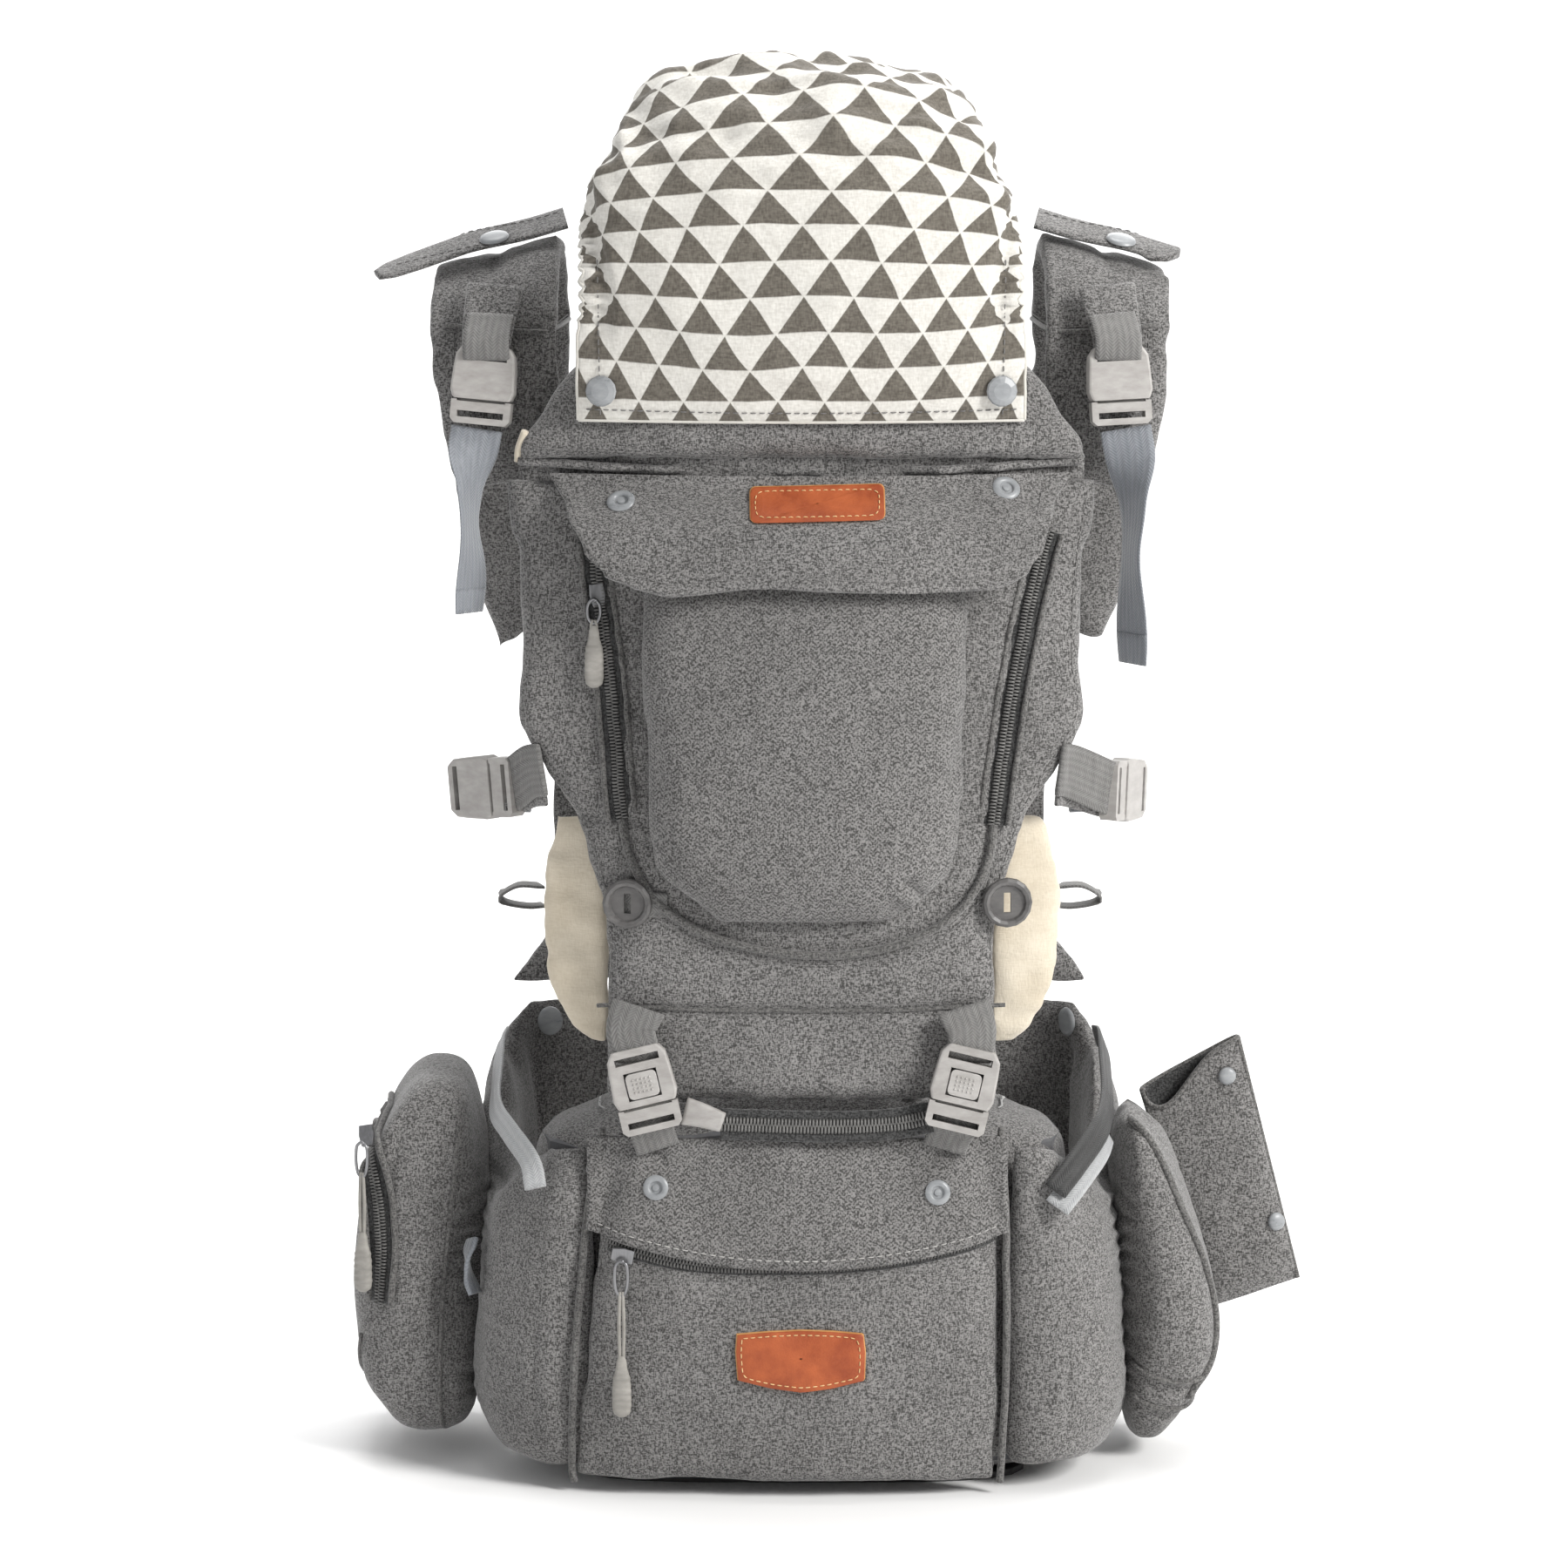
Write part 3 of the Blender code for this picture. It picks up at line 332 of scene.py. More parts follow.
BLACK_WEBBING = ribbed_webbing("black_webbing", "webbing", (0.01, 0.01, 0.01), (0.05, 0.05, 0.05), 0.6, 0.2)
LEATHER = grained_leather("leather_face", (0.27, 0.052, 0.015), (0.42, 0.10, 0.03))
LEATHER_EDGE = grained_leather("leather_edge", (0.50, 0.23, 0.07), (0.66, 0.36, 0.14), 0.6)
METAL = brushed_metal("zip_metal", (0.16, 0.16, 0.165), (0.34, 0.34, 0.35))
THREAD = plain_cotton("grey_thread", "grey_fabric", (0.10, 0.098, 0.095), (0.20, 0.195, 0.19))
PALE_THREAD = plain_cotton("pale_thread", "grey_fabric", (0.34, 0.33, 0.32), (0.50, 0.49, 0.47))
TAN_THREAD = plain_cotton("tan_thread", "leather", (0.62, 0.40, 0.17), (0.78, 0.55, 0.28))


# ---------------------------------------------------------------- mesh helpers

def add_mesh(name, points, faces, material, body=None, uv=None, smooth=True, sharp=None):
    mesh = bpy.data.meshes.new(name)
    mesh.from_pydata([tuple(p) for p in metres(points)], [], [tuple(int(i) for i in f) for f in faces])
    if uv is not None:
        layer = mesh.uv_layers.new(name="cloth")
        uv = np.asarray(uv, float) * 0.001
        index = np.empty(len(mesh.loops), int)
        mesh.loops.foreach_get("vertex_index", index)
        layer.data.foreach_set("uv", uv[index].ravel())
    mesh.materials.append(material)
    if smooth:
        mesh.shade_smooth()
        if sharp:
            mesh.set_sharp_from_angle(angle=math.radians(sharp))
    obj = bpy.data.objects.new(name, mesh)
    scene.collection.objects.link(obj)
    if body:
        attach(obj, body)
    return obj


def face_out(obj, solid=True):
    bm = bmesh.new()
    bm.from_mesh(obj.data)
    bmesh.ops.recalc_face_normals(bm, faces=bm.faces)
    if solid and bm.calc_volume(signed=True) < 0:
        bmesh.ops.reverse_faces(bm, faces=bm.faces)
    bm.to_mesh(obj.data)
    bm.free()
    return obj


def applied(obj):
    graph = bpy.context.evaluated_depsgraph_get()
    mesh = bpy.data.meshes.new_from_object(obj.evaluated_get(graph))
    obj.modifiers.clear()
    obj.data = mesh
    mesh.shade_smooth()
    return obj


def co_of(mesh):
    co = np.empty(len(mesh.vertices) * 3, np.float32)
    mesh.vertices.foreach_get("co", co)
    return co.reshape(-1, 3).astype(float)


def set_co(mesh, co):
    mesh.vertices.foreach_set("co", np.ascontiguousarray(co, np.float32).ravel())
    mesh.update()


def normals_of(mesh):
    out = np.empty(len(mesh.vertices) * 3, np.float32)
    mesh.vertex_normals.foreach_get("vector", out)
    return out.reshape(-1, 3).astype(float)


def relaxed(mesh, rounds, strength=0.5):
    edges = np.empty(len(mesh.edges) * 2, int)
    mesh.edges.foreach_get("vertices", edges)
    edges = edges.reshape(-1, 2)
    co = co_of(mesh)
    count = np.maximum(np.bincount(edges.ravel(), minlength=len(co)), 1)[:, None]
    for _ in range(rounds):
        total = np.zeros_like(co)
        np.add.at(total, edges[:, 0], co[edges[:, 1]])
        np.add.at(total, edges[:, 1], co[edges[:, 0]])
        co += (total / count - co) * strength
    set_co(mesh, co)


def smooth_line(knots, count):
    """count evenly spaced points on a smooth curve through the knots."""
    knots = np.asarray(knots, float)
    if len(knots) == 2:
        return knots[0] + (knots[1] - knots[0]) * np.linspace(0, 1, count)[:, None]
    padded = np.vstack([2 * knots[0] - knots[1], knots, 2 * knots[-1] - knots[-2]])
    fine = []
    for a, b, c, d in zip(padded, padded[1:], padded[2:], padded[3:]):
        for t in np.arange(16) / 16:
            fine.append(0.5 * (2 * b + (c - a) * t + (2 * a - 5 * b + 4 * c - d) * t * t
                               + (3 * b - a - 3 * c + d) * t ** 3))
    fine.append(knots[-1])
    fine = np.array(fine)
    run = np.concatenate([[0], np.cumsum(np.linalg.norm(np.diff(fine, axis=0), axis=1))])
    at = np.linspace(0, run[-1], count)
    return np.stack([np.interp(at, run, fine[:, k]) for k in range(fine.shape[1])], axis=1)


def length_of(line):
    return float(np.linalg.norm(np.diff(line, axis=0), axis=1).sum())


def directions(line):
    ahead = np.gradient(np.asarray(line, float), axis=0)
    return ahead / np.maximum(np.linalg.norm(ahead, axis=1, keepdims=True), 1e-9)


def swept(line, across, half_width, half_thick, power=2.6, sides=12):
    """Rings along a line: a flat oval whose width runs along across. Returns points, faces, uv."""
    line = np.asarray(line, float)
    ahead = directions(line)
    across = np.broadcast_to(np.asarray(across, float), line.shape)
    side = across - ahead * (across * ahead).sum(1, keepdims=True)
    side /= np.maximum(np.linalg.norm(side, axis=1, keepdims=True), 1e-9)
    out = np.cross(ahead, side)
    turn = np.linspace(0, 2 * np.pi, sides, endpoint=False)
    a = np.sign(np.cos(turn)) * np.abs(np.cos(turn)) ** (2 / power)
    b = np.sign(np.sin(turn)) * np.abs(np.sin(turn)) ** (2 / power)
    half_width = np.broadcast_to(np.asarray(half_width, float), len(line))
    half_thick = np.broadcast_to(np.asarray(half_thick, float), len(line))
    points = (line[:, None] + side[:, None] * (a[None, :, None] * half_width[:, None, None])
              + out[:, None] * (b[None, :, None] * half_thick[:, None, None]))
    run = np.concatenate([[0], np.cumsum(np.linalg.norm(np.diff(line, axis=0), axis=1))])
    uv = np.stack([np.broadcast_to(a * half_width[:, None], (len(line), sides)),
                   np.broadcast_to(run[:, None], (len(line), sides))], axis=2)
    faces = grid_faces(sides, len(line), closed=True)
    faces.append(tuple(range(sides))[::-1])
    last = (len(line) - 1) * sides
    faces.append(tuple(last + i for i in range(sides)))
    return points.reshape(-1, 3), faces, uv.reshape(-1, 2)


def joined(parts):
    """Several (points, faces, uv) as one."""
    points, faces, uv, start = [], [], [], 0
    for p, f, t in parts:
        points.append(p)
        uv.append(t)
        faces += [tuple(i + start for i in face) for face in f]
        start += len(p)
    return np.vstack(points), faces, np.vstack(uv)


def grid_faces(columns, rows, closed=False):
    """Quads between rows of points; closed joins each row's ends."""
    wide = columns if closed else columns - 1
    return [(j * columns + i, j * columns + (i + 1) % columns, (j + 1) * columns + (i + 1) % columns,
             (j + 1) * columns + i) for j in range(rows - 1) for i in range(wide)]


def thickened(obj, thickness, **settings):
    """The sheet as a shell this many metres thick, centred on it unless settings say otherwise."""
    shell = obj.modifiers.new("Thickness", "SOLIDIFY")
    shell.thickness = thickness
    shell.offset = 0
    for key, value in settings.items():
        setattr(shell, key, value)
    return applied(obj)


def any_across(line):
    """A steady direction to sweep round tubes with."""
    ahead = directions(line)
    start = np.array([0, 1, 0.02]) if abs(ahead[0][1]) < 0.8 else np.array([1, 0, 0.02])
    out = []
    for a in ahead:
        start = start - a * start.dot(a)
        start = start / max(np.linalg.norm(start), 1e-9)
        out.append(start)
    return np.array(out)


def tube(name, line, radius, material, body, sides=8):
    points, faces, uv = swept(line, any_across(line), radius, radius, 2.0, sides)
    return face_out(add_mesh(name, points, faces, material, body, uv))


def strap(name, line, across, width, thick, material, body, sides=12, power=5.0):
    points, faces, uv = swept(line, across, np.asarray(width) / 2, np.asarray(thick) / 2, power, sides)
    return face_out(add_mesh(name, points, faces, material, body, uv))


def stitches(name, lines, material, body, dash=2.7, gap=1.5, radius=0.36):
    """Dashes of thread along (points, normals) lines that lie on a surface."""
    parts = []
    for line, normal in lines:
        total = length_of(line)
        count = max(2, int(total / (dash + gap)))
        run = np.concatenate([[0], np.cumsum(np.linalg.norm(np.diff(line, axis=0), axis=1))])

        def at(s, values=line, run=run):
            return np.stack([np.interp(s, run, values[:, k]) for k in range(3)], axis=-1)
        for k in range(count):
            s = (k + 0.5) * total / count
            ends = np.array([s - dash / 2, s - dash * 0.3, s + dash * 0.3, s + dash / 2])
            p = at(ends)
            n = np.stack([np.interp(s, run, normal[:, i]) for i in range(3)])
            p[1:3] += n * radius * 0.8
            p[[0, 3]] -= n * radius * 0.4
            parts.append(swept(p, np.cross(directions(p)[1], n), [radius * 0.6, radius, radius, radius * 0.6],
                               radius * 0.8, 2.0, 5))
    if not parts:
        return None
    return face_out(add_mesh(name, *joined(parts)[:2], material, body), False)


class Surface:
    """What details are laid on: finished pieces, hit by rays."""

    def __init__(self, *pieces):
        points, faces, start = [], [], 0
        for piece in pieces:
            co = millimetres(co_of(piece.data))
            points.append(co)
            faces += [tuple(i + start for i in p.vertices) for p in piece.data.polygons]
            start += len(co)
        points = np.vstack(points)
        self.middle = ((points.min(0) + points.max(0)) / 2)[[0, 2]]
        self.tree = BVHTree.FromPolygons([tuple(p) for p in points], faces)

    def hit(self, origin, direction):
        place, normal, _, _ = self.tree.ray_cast(Vector(origin), Vector(direction).normalized(), 600)
        if place is None:
            return None, None
        if normal.dot(Vector(direction)) > 0:
            normal = -normal
        return np.array(place), np.array(normal)

    def face(self, x, z, inward=None):
        """The surface in front of (x, z), or the nearest of it toward inward where there is none."""
        inward = self.middle if inward is None else inward
        for share in np.linspace(0, 0.95, 60):
            at = (x + (inward[0] - x) * share, z + (inward[1] - z) * share)
            place, normal = self.hit((at[0], -320, at[1]), (0, 1, 0))
            if place is not None:
                return np.array([x, place[1], z]), normal
        raise ValueError(f"nothing in front of {x:.0f}, {z:.0f}")

    def trace(self, knots, lift=0.0, step=2.2, toward=None, smooth=True, rim=False):
        """A line over the surface. knots are (x, z) seen from the front, or 3D with toward a centre."""
        knots = np.asarray(knots, float)
        rough = smooth_line(knots, 40) if smooth else knots
        count = max(3, int(length_of(rough) / step))
        path = smooth_line(knots, count) if smooth else resample(knots, count)
        line, normal = [], []
        for p in path:
            if len(p) == 2:
                place, n = self.hit((p[0], -320, p[1]), (0, 1, 0))
                if place is None:
                    if not rim:
                        continue
                    place, n = self.face(p[0], p[1])
            else:
                centre = np.asarray(toward(p) if callable(toward) else toward, float)
                away = p - centre
                away /= np.linalg.norm(away)
                place, n = self.hit(p + away * 120, -away)
            if place is None:
                if not line:
                    continue
                place, n = line[-1] - normal[-1] * lift, normal[-1]
                continue
            line.append(place)
            normal.append(n)
        if len(line) < 2:
            raise ValueError(f"{knots[0]} to {knots[-1]} misses the surface")
        line, normal = np.array(line), np.array(normal)
        for _ in range(3):
            if len(line) > 3:
                line[1:-1] = line[1:-1] * 0.5 + (line[:-2] + line[2:]) * 0.25
                normal[1:-1] = normal[1:-1] * 0.5 + (normal[:-2] + normal[2:]) * 0.25
        normal /= np.maximum(np.linalg.norm(normal, axis=1, keepdims=True), 1e-9)
        return line + normal * lift, normal


def resample(knots, count):
    run = np.concatenate([[0], np.cumsum(np.linalg.norm(np.diff(knots, axis=0), axis=1))])
    at = np.linspace(0, run[-1], count)
    return np.stack([np.interp(at, run, knots[:, k]) for k in range(knots.shape[1])], axis=1)


def piping(name, surface, knots, radius, body, material=None, toward=None, smooth=True, sink=0.2):
    line, _ = surface.trace(knots, radius * (1 - sink), 2.2, toward, smooth, True)
    return tube(name, line, radius, material or SEAM, body, 8)


def seam_line(line, normal, shift):
    """The same line moved sideways along the surface."""
    side = np.cross(directions(line), normal)
    return line + side * shift, normal


def zip_teeth(name, line, normal, width, body, pitch=1.5, radius=0.52, material=None):
    """A coil zip's teeth: a short bar across the line at each pitch, alternately shifted."""
    count = max(2, int(length_of(line) / pitch))
    at = resample(line, count)
    n = resample(normal, count)
    ahead = directions(at)
    side = np.cross(ahead, n)
    side /= np.linalg.norm(side, axis=1, keepdims=True)
    parts = []
    for k in range(count):
        lean = ahead[k] * pitch * 0.25
        for sign in (-1, 1):
            bar = np.array([at[k] + sign * side[k] * width * 0.5 - n[k] * 0.3 + lean * sign,
                            at[k] + sign * side[k] * width * 0.42 + n[k] * radius * 0.9 + lean * sign,
                            at[k] - sign * side[k] * width * 0.06 + n[k] * radius * 0.7 + lean * sign])
            parts.append(swept(bar, ahead[k] + 0.001, radius, radius * 0.8, 2.0, 5))
    return face_out(add_mesh(name, *joined(parts)[:2], material or COIL, body), False)


def tape(name, line, normal, width, body, material=None, thick=0.9, sink=0.3):
    side = np.cross(directions(line), normal)
    return strap(name, line - normal * sink, side, width, thick, material or SEAM, body, 10, 4.0)


def fractal(points, scale, stretch=(1, 1, 1), octaves=2, shift=0.0):
    """Seeded noise from -1 to 1 at each point; scale is the size of its largest lumps in mm."""
    out = np.zeros(len(points))
    stretch = np.asarray(stretch, float)
    for k, p in enumerate(points * stretch / scale + shift):
        v = Vector(p)
        value, gain = 0.0, 1.0
        for _ in range(octaves):
            value += gain * noise.noise(v)
            v = v * 2.1
            gain *= 0.5
        out[k] = value
    return out


def near_line(points, line):
    """Distance of each point to a polyline, in as many dimensions as the line has."""
    line = np.asarray(line, float)
    points = points[:, :line.shape[1]]
    best = np.full(len(points), 1e9)
    for a, b in zip(line, line[1:]):
        d = b - a
        t = np.clip(((points - a) @ d) / max(d @ d, 1e-9), 0, 1)
        best = np.minimum(best, np.linalg.norm(points - (a + t[:, None] * d), axis=1))
    return best


# ---------------------------------------------------------------- soft pieces from the CAD solids

SOFT = []


def soften(name, node, body, material, voxel=4.0, pressure=4.0, cap=5.0, shrink=1.2, grow=0.0, smooth=2,
           shape=None, stiff=15.0, fill=0.6, replaces=None):
    """Starts a padded piece from a CAD solid. shape(co, normal) moves its points at the end, in mm."""
    if isinstance(node, str):
        mesh = NODES[node].data.copy()
    else:
        mesh = bpy.data.meshes.new(name)
        mesh.from_pydata([tuple(p) for p in metres(node[0])], [], node[1])
    obj = bpy.data.objects.new(name, mesh)
    scene.collection.objects.link(obj)
    obj.data.materials.clear()
    obj.data.materials.append(material)
    bm = bmesh.new()
    bm.from_mesh(obj.data)
    bmesh.ops.remove_doubles(bm, verts=bm.verts, dist=1e-5)
    bmesh.ops.recalc_face_normals(bm, faces=bm.faces)
    bm.to_mesh(obj.data)
    bm.free()
    remesh = obj.modifiers.new("Remesh", "REMESH")
    remesh.mode = "VOXEL"
    remesh.voxel_size = voxel * 0.001
    applied(obj)
    relaxed(obj.data, 4)
    set_co(obj.data, co_of(obj.data) + normals_of(obj.data) * (grow - shrink) * 0.001)
    SOFT.append(dict(obj=obj, name=name, body=body, pressure=pressure, cap=cap, smooth=smooth, shape=shape,
                     stiff=stiff, fill=fill, replaces=replaces or [node], shrink=shrink))
    return obj


def inflate_all():
    """One run of the cloth for every soft piece together, each point held to its own cap."""
    for s in SOFT:
        cloth = s["obj"].modifiers.new("Cloth", "CLOTH")
        settings = cloth.settings
        settings.quality = 4
        settings.mass = 0.3
        settings.tension_stiffness = settings.compression_stiffness = s["stiff"]
        settings.bending_stiffness = 0.8
        settings.use_pressure = True
        settings.uniform_pressure_force = s["pressure"]
        settings.effector_weights.gravity = 0
        cloth.point_cache.frame_start, cloth.point_cache.frame_end = 1, CLOTH_FRAMES
        s["rest"] = co_of(s["obj"].data)
    for number in range(1, CLOTH_FRAMES + 1):
        scene.frame_set(number)
    for s in SOFT:
        obj = s["obj"]
        graph = bpy.context.evaluated_depsgraph_get()
        mesh = bpy.data.meshes.new_from_object(obj.evaluated_get(graph))
        moved = co_of(mesh) - s["rest"]
        far = np.linalg.norm(moved, axis=1, keepdims=True)
        cap = s["cap"] * 0.001
        moved *= np.minimum(1, cap / np.maximum(far, 1e-9))
        obj.modifiers.clear()
        set_co(obj.data, s["rest"] + moved)
    scene.frame_set(1)
    for s in SOFT:
        obj = s["obj"]
        relaxed(obj.data, s["smooth"])
        obj.modifiers.new("Subdivision", "SUBSURF").levels = 1
        applied(obj)
        if s["shape"]:
            co = millimetres(co_of(obj.data))
            n = normals_of(obj.data)
            set_co(obj.data, metres(s["shape"](co, n)))
        obj.data.shade_smooth()
        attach(obj, s["body"])
        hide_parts(*s["replaces"])


def wrinkled(amount=0.8, scale=22, stretch=(1, 1, 1), seams=(), width=3.0, depth=1.6, shift=0.0, more=None,
             fine=0.25):
    """A shape for soften: lumps along the normal, dips along seams, then more(co, n, push)."""
    def shape(co, n):
        push = amount * fractal(co, scale, stretch, 2, shift)
        push = push + fine * fractal(co, 9.0, (1, 1, 1), 1, shift + 9)
        front = n[:, 1] < 0.15
        for line in seams:
            line = np.asarray(line, float)
            if line.shape[1] == 2:
                away = near_line(co[:, [0, 2]], line)
                dip = np.exp(-(away / width) ** 2) * front
            else:
                away = near_line(co, line)
                dip = np.exp(-(away / width) ** 2)
            push = push - depth * dip
            pucker = np.exp(-(away / (width * 3)) ** 2) * (front if line.shape[1] == 2 else 1)
            push = push + 0.35 * pucker * fractal(co, 7.5, (1, 1, 1), 1, shift + 3)
        if more:
            push = more(co, n, push)
        return co + n * push[:, None]
    return shape


def step(value, low, high):
    t = np.clip((value - low) / (high - low), 0, 1)
    return t * t * (3 - 2 * t)


CHEST_OUTLINE = [(-92, 424), (-90, 405), (-85, 368), (-81.5, 325), (-79.5, 300), (-70, 278), (-52, 263),
                 (-25, 253), (8, 250), (35, 252.5), (58, 261), (75, 276), (84, 297), (87.5, 323), (93, 360),
                 (101, 400), (108, 430)]

PANEL_SEAMS = [[(-135, 306), (-70, 306)], [(80, 306), (135, 306)], [(-100, 222), (100, 222)], CHEST_OUTLINE]

soften("panel_shell", "main_panel", "carrier", GREY, voxel=3.6, cap=3.5, shrink=0.4, fill=0.45,
       shape=wrinkled(0.8, 26, (1, 1, 1), PANEL_SEAMS, 2.6, 1.2))


def pocket_more(co, n, push):
    x, z = co[:, 0], co[:, 2]
    front = step(-n[:, 1], 0.1, 0.5)
    crease = np.exp(-(near_line(co[:, [0, 2]], [(47, 281), (57, 271), (66, 268)]) / 2.2) ** 2)
    crease2 = np.exp(-(near_line(co[:, [0, 2]], [(40, 268), (54, 262)]) / 2.6) ** 2)
    ridge = np.exp(-(near_line(co[:, [0, 2]], [(44, 275), (58, 264)]) / 3.0) ** 2)
    hang = 1.2 * np.sin(x / 17.0 + 0.6) * np.exp(-((z - 405) / 26) ** 2)
    return push + front * (hang - 2.6 * crease - 1.2 * crease2 + 1.4 * ridge)


soften("chest_pocket_body", "chest_pocket", "carrier", TWILL, voxel=4.0, cap=5.0, shrink=1.2, fill=0.6,
       shape=wrinkled(1.0, 34, (1, 1, 0.7), (), more=pocket_more, fine=0.18))

soften("headrest_pad", "headrest", "headrest", GREY, voxel=3.6, cap=4.0, shrink=0.4, fill=0.6,
       shape=wrinkled(0.9, 24, (0.6, 1, 1), [[(-128, 466), (0, 463.5), (128, 466)]], 3.0, 1.0))



def strap_shape(side, crease):
    """The strap's leg behind the panel spreads outwards and reaches further down."""
    wrinkles = wrinkled(1.1, 22, (1, 1, 1), [crease], 4.0, 1.8, side * 5.0)

    def shape(co, n):
        co = wrinkles(co, n)
        x, y, z = co.T.copy()
        rear = step(y, 15, 60)
        wider = np.interp(z, (370, 399, 420, 443, 474, 518, 550), (6, 12, 15, 15, 10, 6, 2))
        x = x + side * rear * wider * np.clip((np.abs(x) - 100) / 40, 0, 1)
        z = z - rear * 0.8 * np.clip(432 - z, 0, None)
        return np.stack([x, y, z], axis=1)
    return shape


for side, name in ((-1, "left"), (1, "right")):
    soften(f"leg_padding_{name}", f"leg_pad_{name}", "carrier", CREAM, voxel=4.0, cap=5.0, shrink=1.0,
           fill=0.7, shape=wrinkled(1.5, 17, (0.6, 1, 1.3), (), shift=side * 3.0, fine=0.35))
    crease = [(side * 137, -40, 460), (side * 139, -24, 520), (side * 139, 6, 557), (side * 137, 44, 553),
              (side * 135, 70, 520), (side * 130, 88, 474), (side * 118, 102, 430)]
    soften(f"strap_padding_{name}", f"shoulder_strap_{name}", "carrier", GREY, voxel=4.0, cap=4.5, shrink=1.6,
           fill=0.6, shape=strap_shape(side, crease))

soften("yoke_padding", "back_yoke", "carrier", GREY, voxel=4.5, cap=4.0, shrink=1.6, fill=0.55,
       shape=wrinkled(0.9, 30, (1, 1, 1), [[(-130, 107, 330), (0, 115, 300), (130, 107, 330)],
                                           [(0, 118, 195), (0, 118, 385)]], 4.0, 1.6))


def gathers(centre_x, low, high, reach=26, amount=1.5, period=8.0):
    """Short sideways puckers that fade away from an elastic edge at centre_x."""
    def more(co, n, push):
        x, z = co[:, 0], co[:, 2]
        fade = np.exp(-np.abs(x - centre_x) / reach) * step(z, low, low + 20) * (1 - step(z, high - 20, high))
        wave = np.sin(z / period * 2 * np.pi + 4.5 * fractal(co, 24, (1, 1, 1), 2, 4.0))
        wave = wave * (0.55 + 0.9 * fractal(co, 40, (1, 1, 1), 1, 2.0))
        return push + amount * fade * wave * step(-n[:, 1], -0.4, 0.3)
    return more


soften("seat_fabric", "seat_core", "carrier", GREY, voxel=5.0, cap=4.0, shrink=0.6, grow=4.6, fill=0.8,
       shape=wrinkled(1.0, 30), replaces=["seat_cover"])

soften("seat_top_mesh", "seat_mesh_pad", "carrier", MESH, voxel=1.6, cap=1.0, shrink=0.0, grow=1.6, smooth=8,
       fill=0.3, shape=wrinkled(0.4, 20))


def front_more(co, n, push):
    x, z = co[:, 0], co[:, 2]
    front = step(-n[:, 1], 0.2, 0.6)
    sag = 2.2 * np.exp(-((z - 40) / 34) ** 2) * (1 - (x / 100) ** 2).clip(0, 1)
    return push + front * (sag - 1.4 * np.exp(-((z - 104) / 7) ** 2))


soften("front_pocket_body", "front_pocket", "carrier", GREY, voxel=4.0, cap=4.0, shrink=1.2, fill=0.55,
       shape=wrinkled(1.1, 36, (1, 1, 1), (), more=front_more))


def belt_path(side):
    knots = [(88, -79), (96, -83), (104, -85.5), (112, -84), (122, -77.5), (131, -68), (137, -56), (141, -23),
             (141, 30),
             (141, 62), (133, 90), (112, 104), (85, 107), (48, 107), (46, 107)]
    return smooth_line([(side * x, y) for x, y in knots], 110)


def keyed(keys, at):
    """Smooth steps between (position, value) keys."""
    at = np.asarray(at, float)
    out = np.full(at.shape, float(keys[0][1]))
    for (low, first), (high, second) in zip(keys, keys[1:]):
        out = np.where(at >= low, first + (second - first) * step(at, low, high), out)
    return out


def wing_mesh(side):
    path = belt_path(side)
    share = np.linspace(0, 1, len(path))
    ahead = directions(path)
    out = np.stack([ahead[:, 1] * side, -ahead[:, 0] * side], axis=1)
    low = keyed(((0, 5), (0.3, 4), (0.62, 22), (0.8, 66), (1, 78)), share)
    high = keyed(((0, 163), (0.08, 161), (0.163, 153), (0.23, 147), (0.32, 150), (0.6, 180), (0.7, 195),
                  (0.8, 197),
                  (1, 190)), share)
    thick = keyed(((0, 5.5), (0.06, 7.6), (0.5, 6.4), (1, 5.6)), share)
    points, sides = [], 22
    for k in range(len(path)):
        for i in range(sides):
            a = 2 * math.pi * i / sides
            c, d = math.cos(a), math.sin(a)
            up = math.copysign(abs(c) ** 0.45, c)
            off = math.copysign(abs(d) ** 0.75, d) * thick[k]
            z = (low[k] + high[k]) / 2 + up * (high[k] - low[k]) / 2
            bottom = max(0.0, (26 - z) / 26)
            inward = 7.0 * bottom ** 2 * (1 - share[k])
            tuck = float(step(share[k], 0.03, 0.14) * (1 - step(share[k], 0.25, 0.5)))
            inward += 15.0 * tuck * max(0.0, (z - 70) / 85) ** 1.2
            x, y = path[k] + out[k] * (off - inward)
            points.append((x, y, z))
    faces = grid_faces(sides, len(path), closed=True)
    faces.append(tuple(range(sides)))
    faces.append(tuple((len(path) - 1) * sides + i for i in range(sides)))
    return points, faces


def squared(centre, half, power, shape=None, cuts=(7, 9, 12)):
    """A closed soft box: a cube's surface pressed onto a squared-off ellipsoid."""
    bm = bmesh.new()
    bmesh.ops.create_cube(bm, size=2)
    for axis, number in enumerate(cuts):
        normal = [0, 0, 0]
        normal[axis] = 1
        for k in range(1, number):
            place = [0, 0, 0]
            place[axis] = -1 + 2 * k / number
            bmesh.ops.bisect_plane(bm, geom=bm.verts[:] + bm.edges[:] + bm.faces[:], plane_co=place,
                                   plane_no=normal)
    co = np.array([v.co[:] for v in bm.verts])
    reach = (np.abs(co) ** power).sum(1, keepdims=True) ** (1 / power)
    co = co / reach * np.asarray(half) + np.asarray(centre)
    if shape:
        co = shape(co)
    faces = [tuple(v.index for v in f.verts) for f in bm.faces]
    bm.free()
    return co, faces


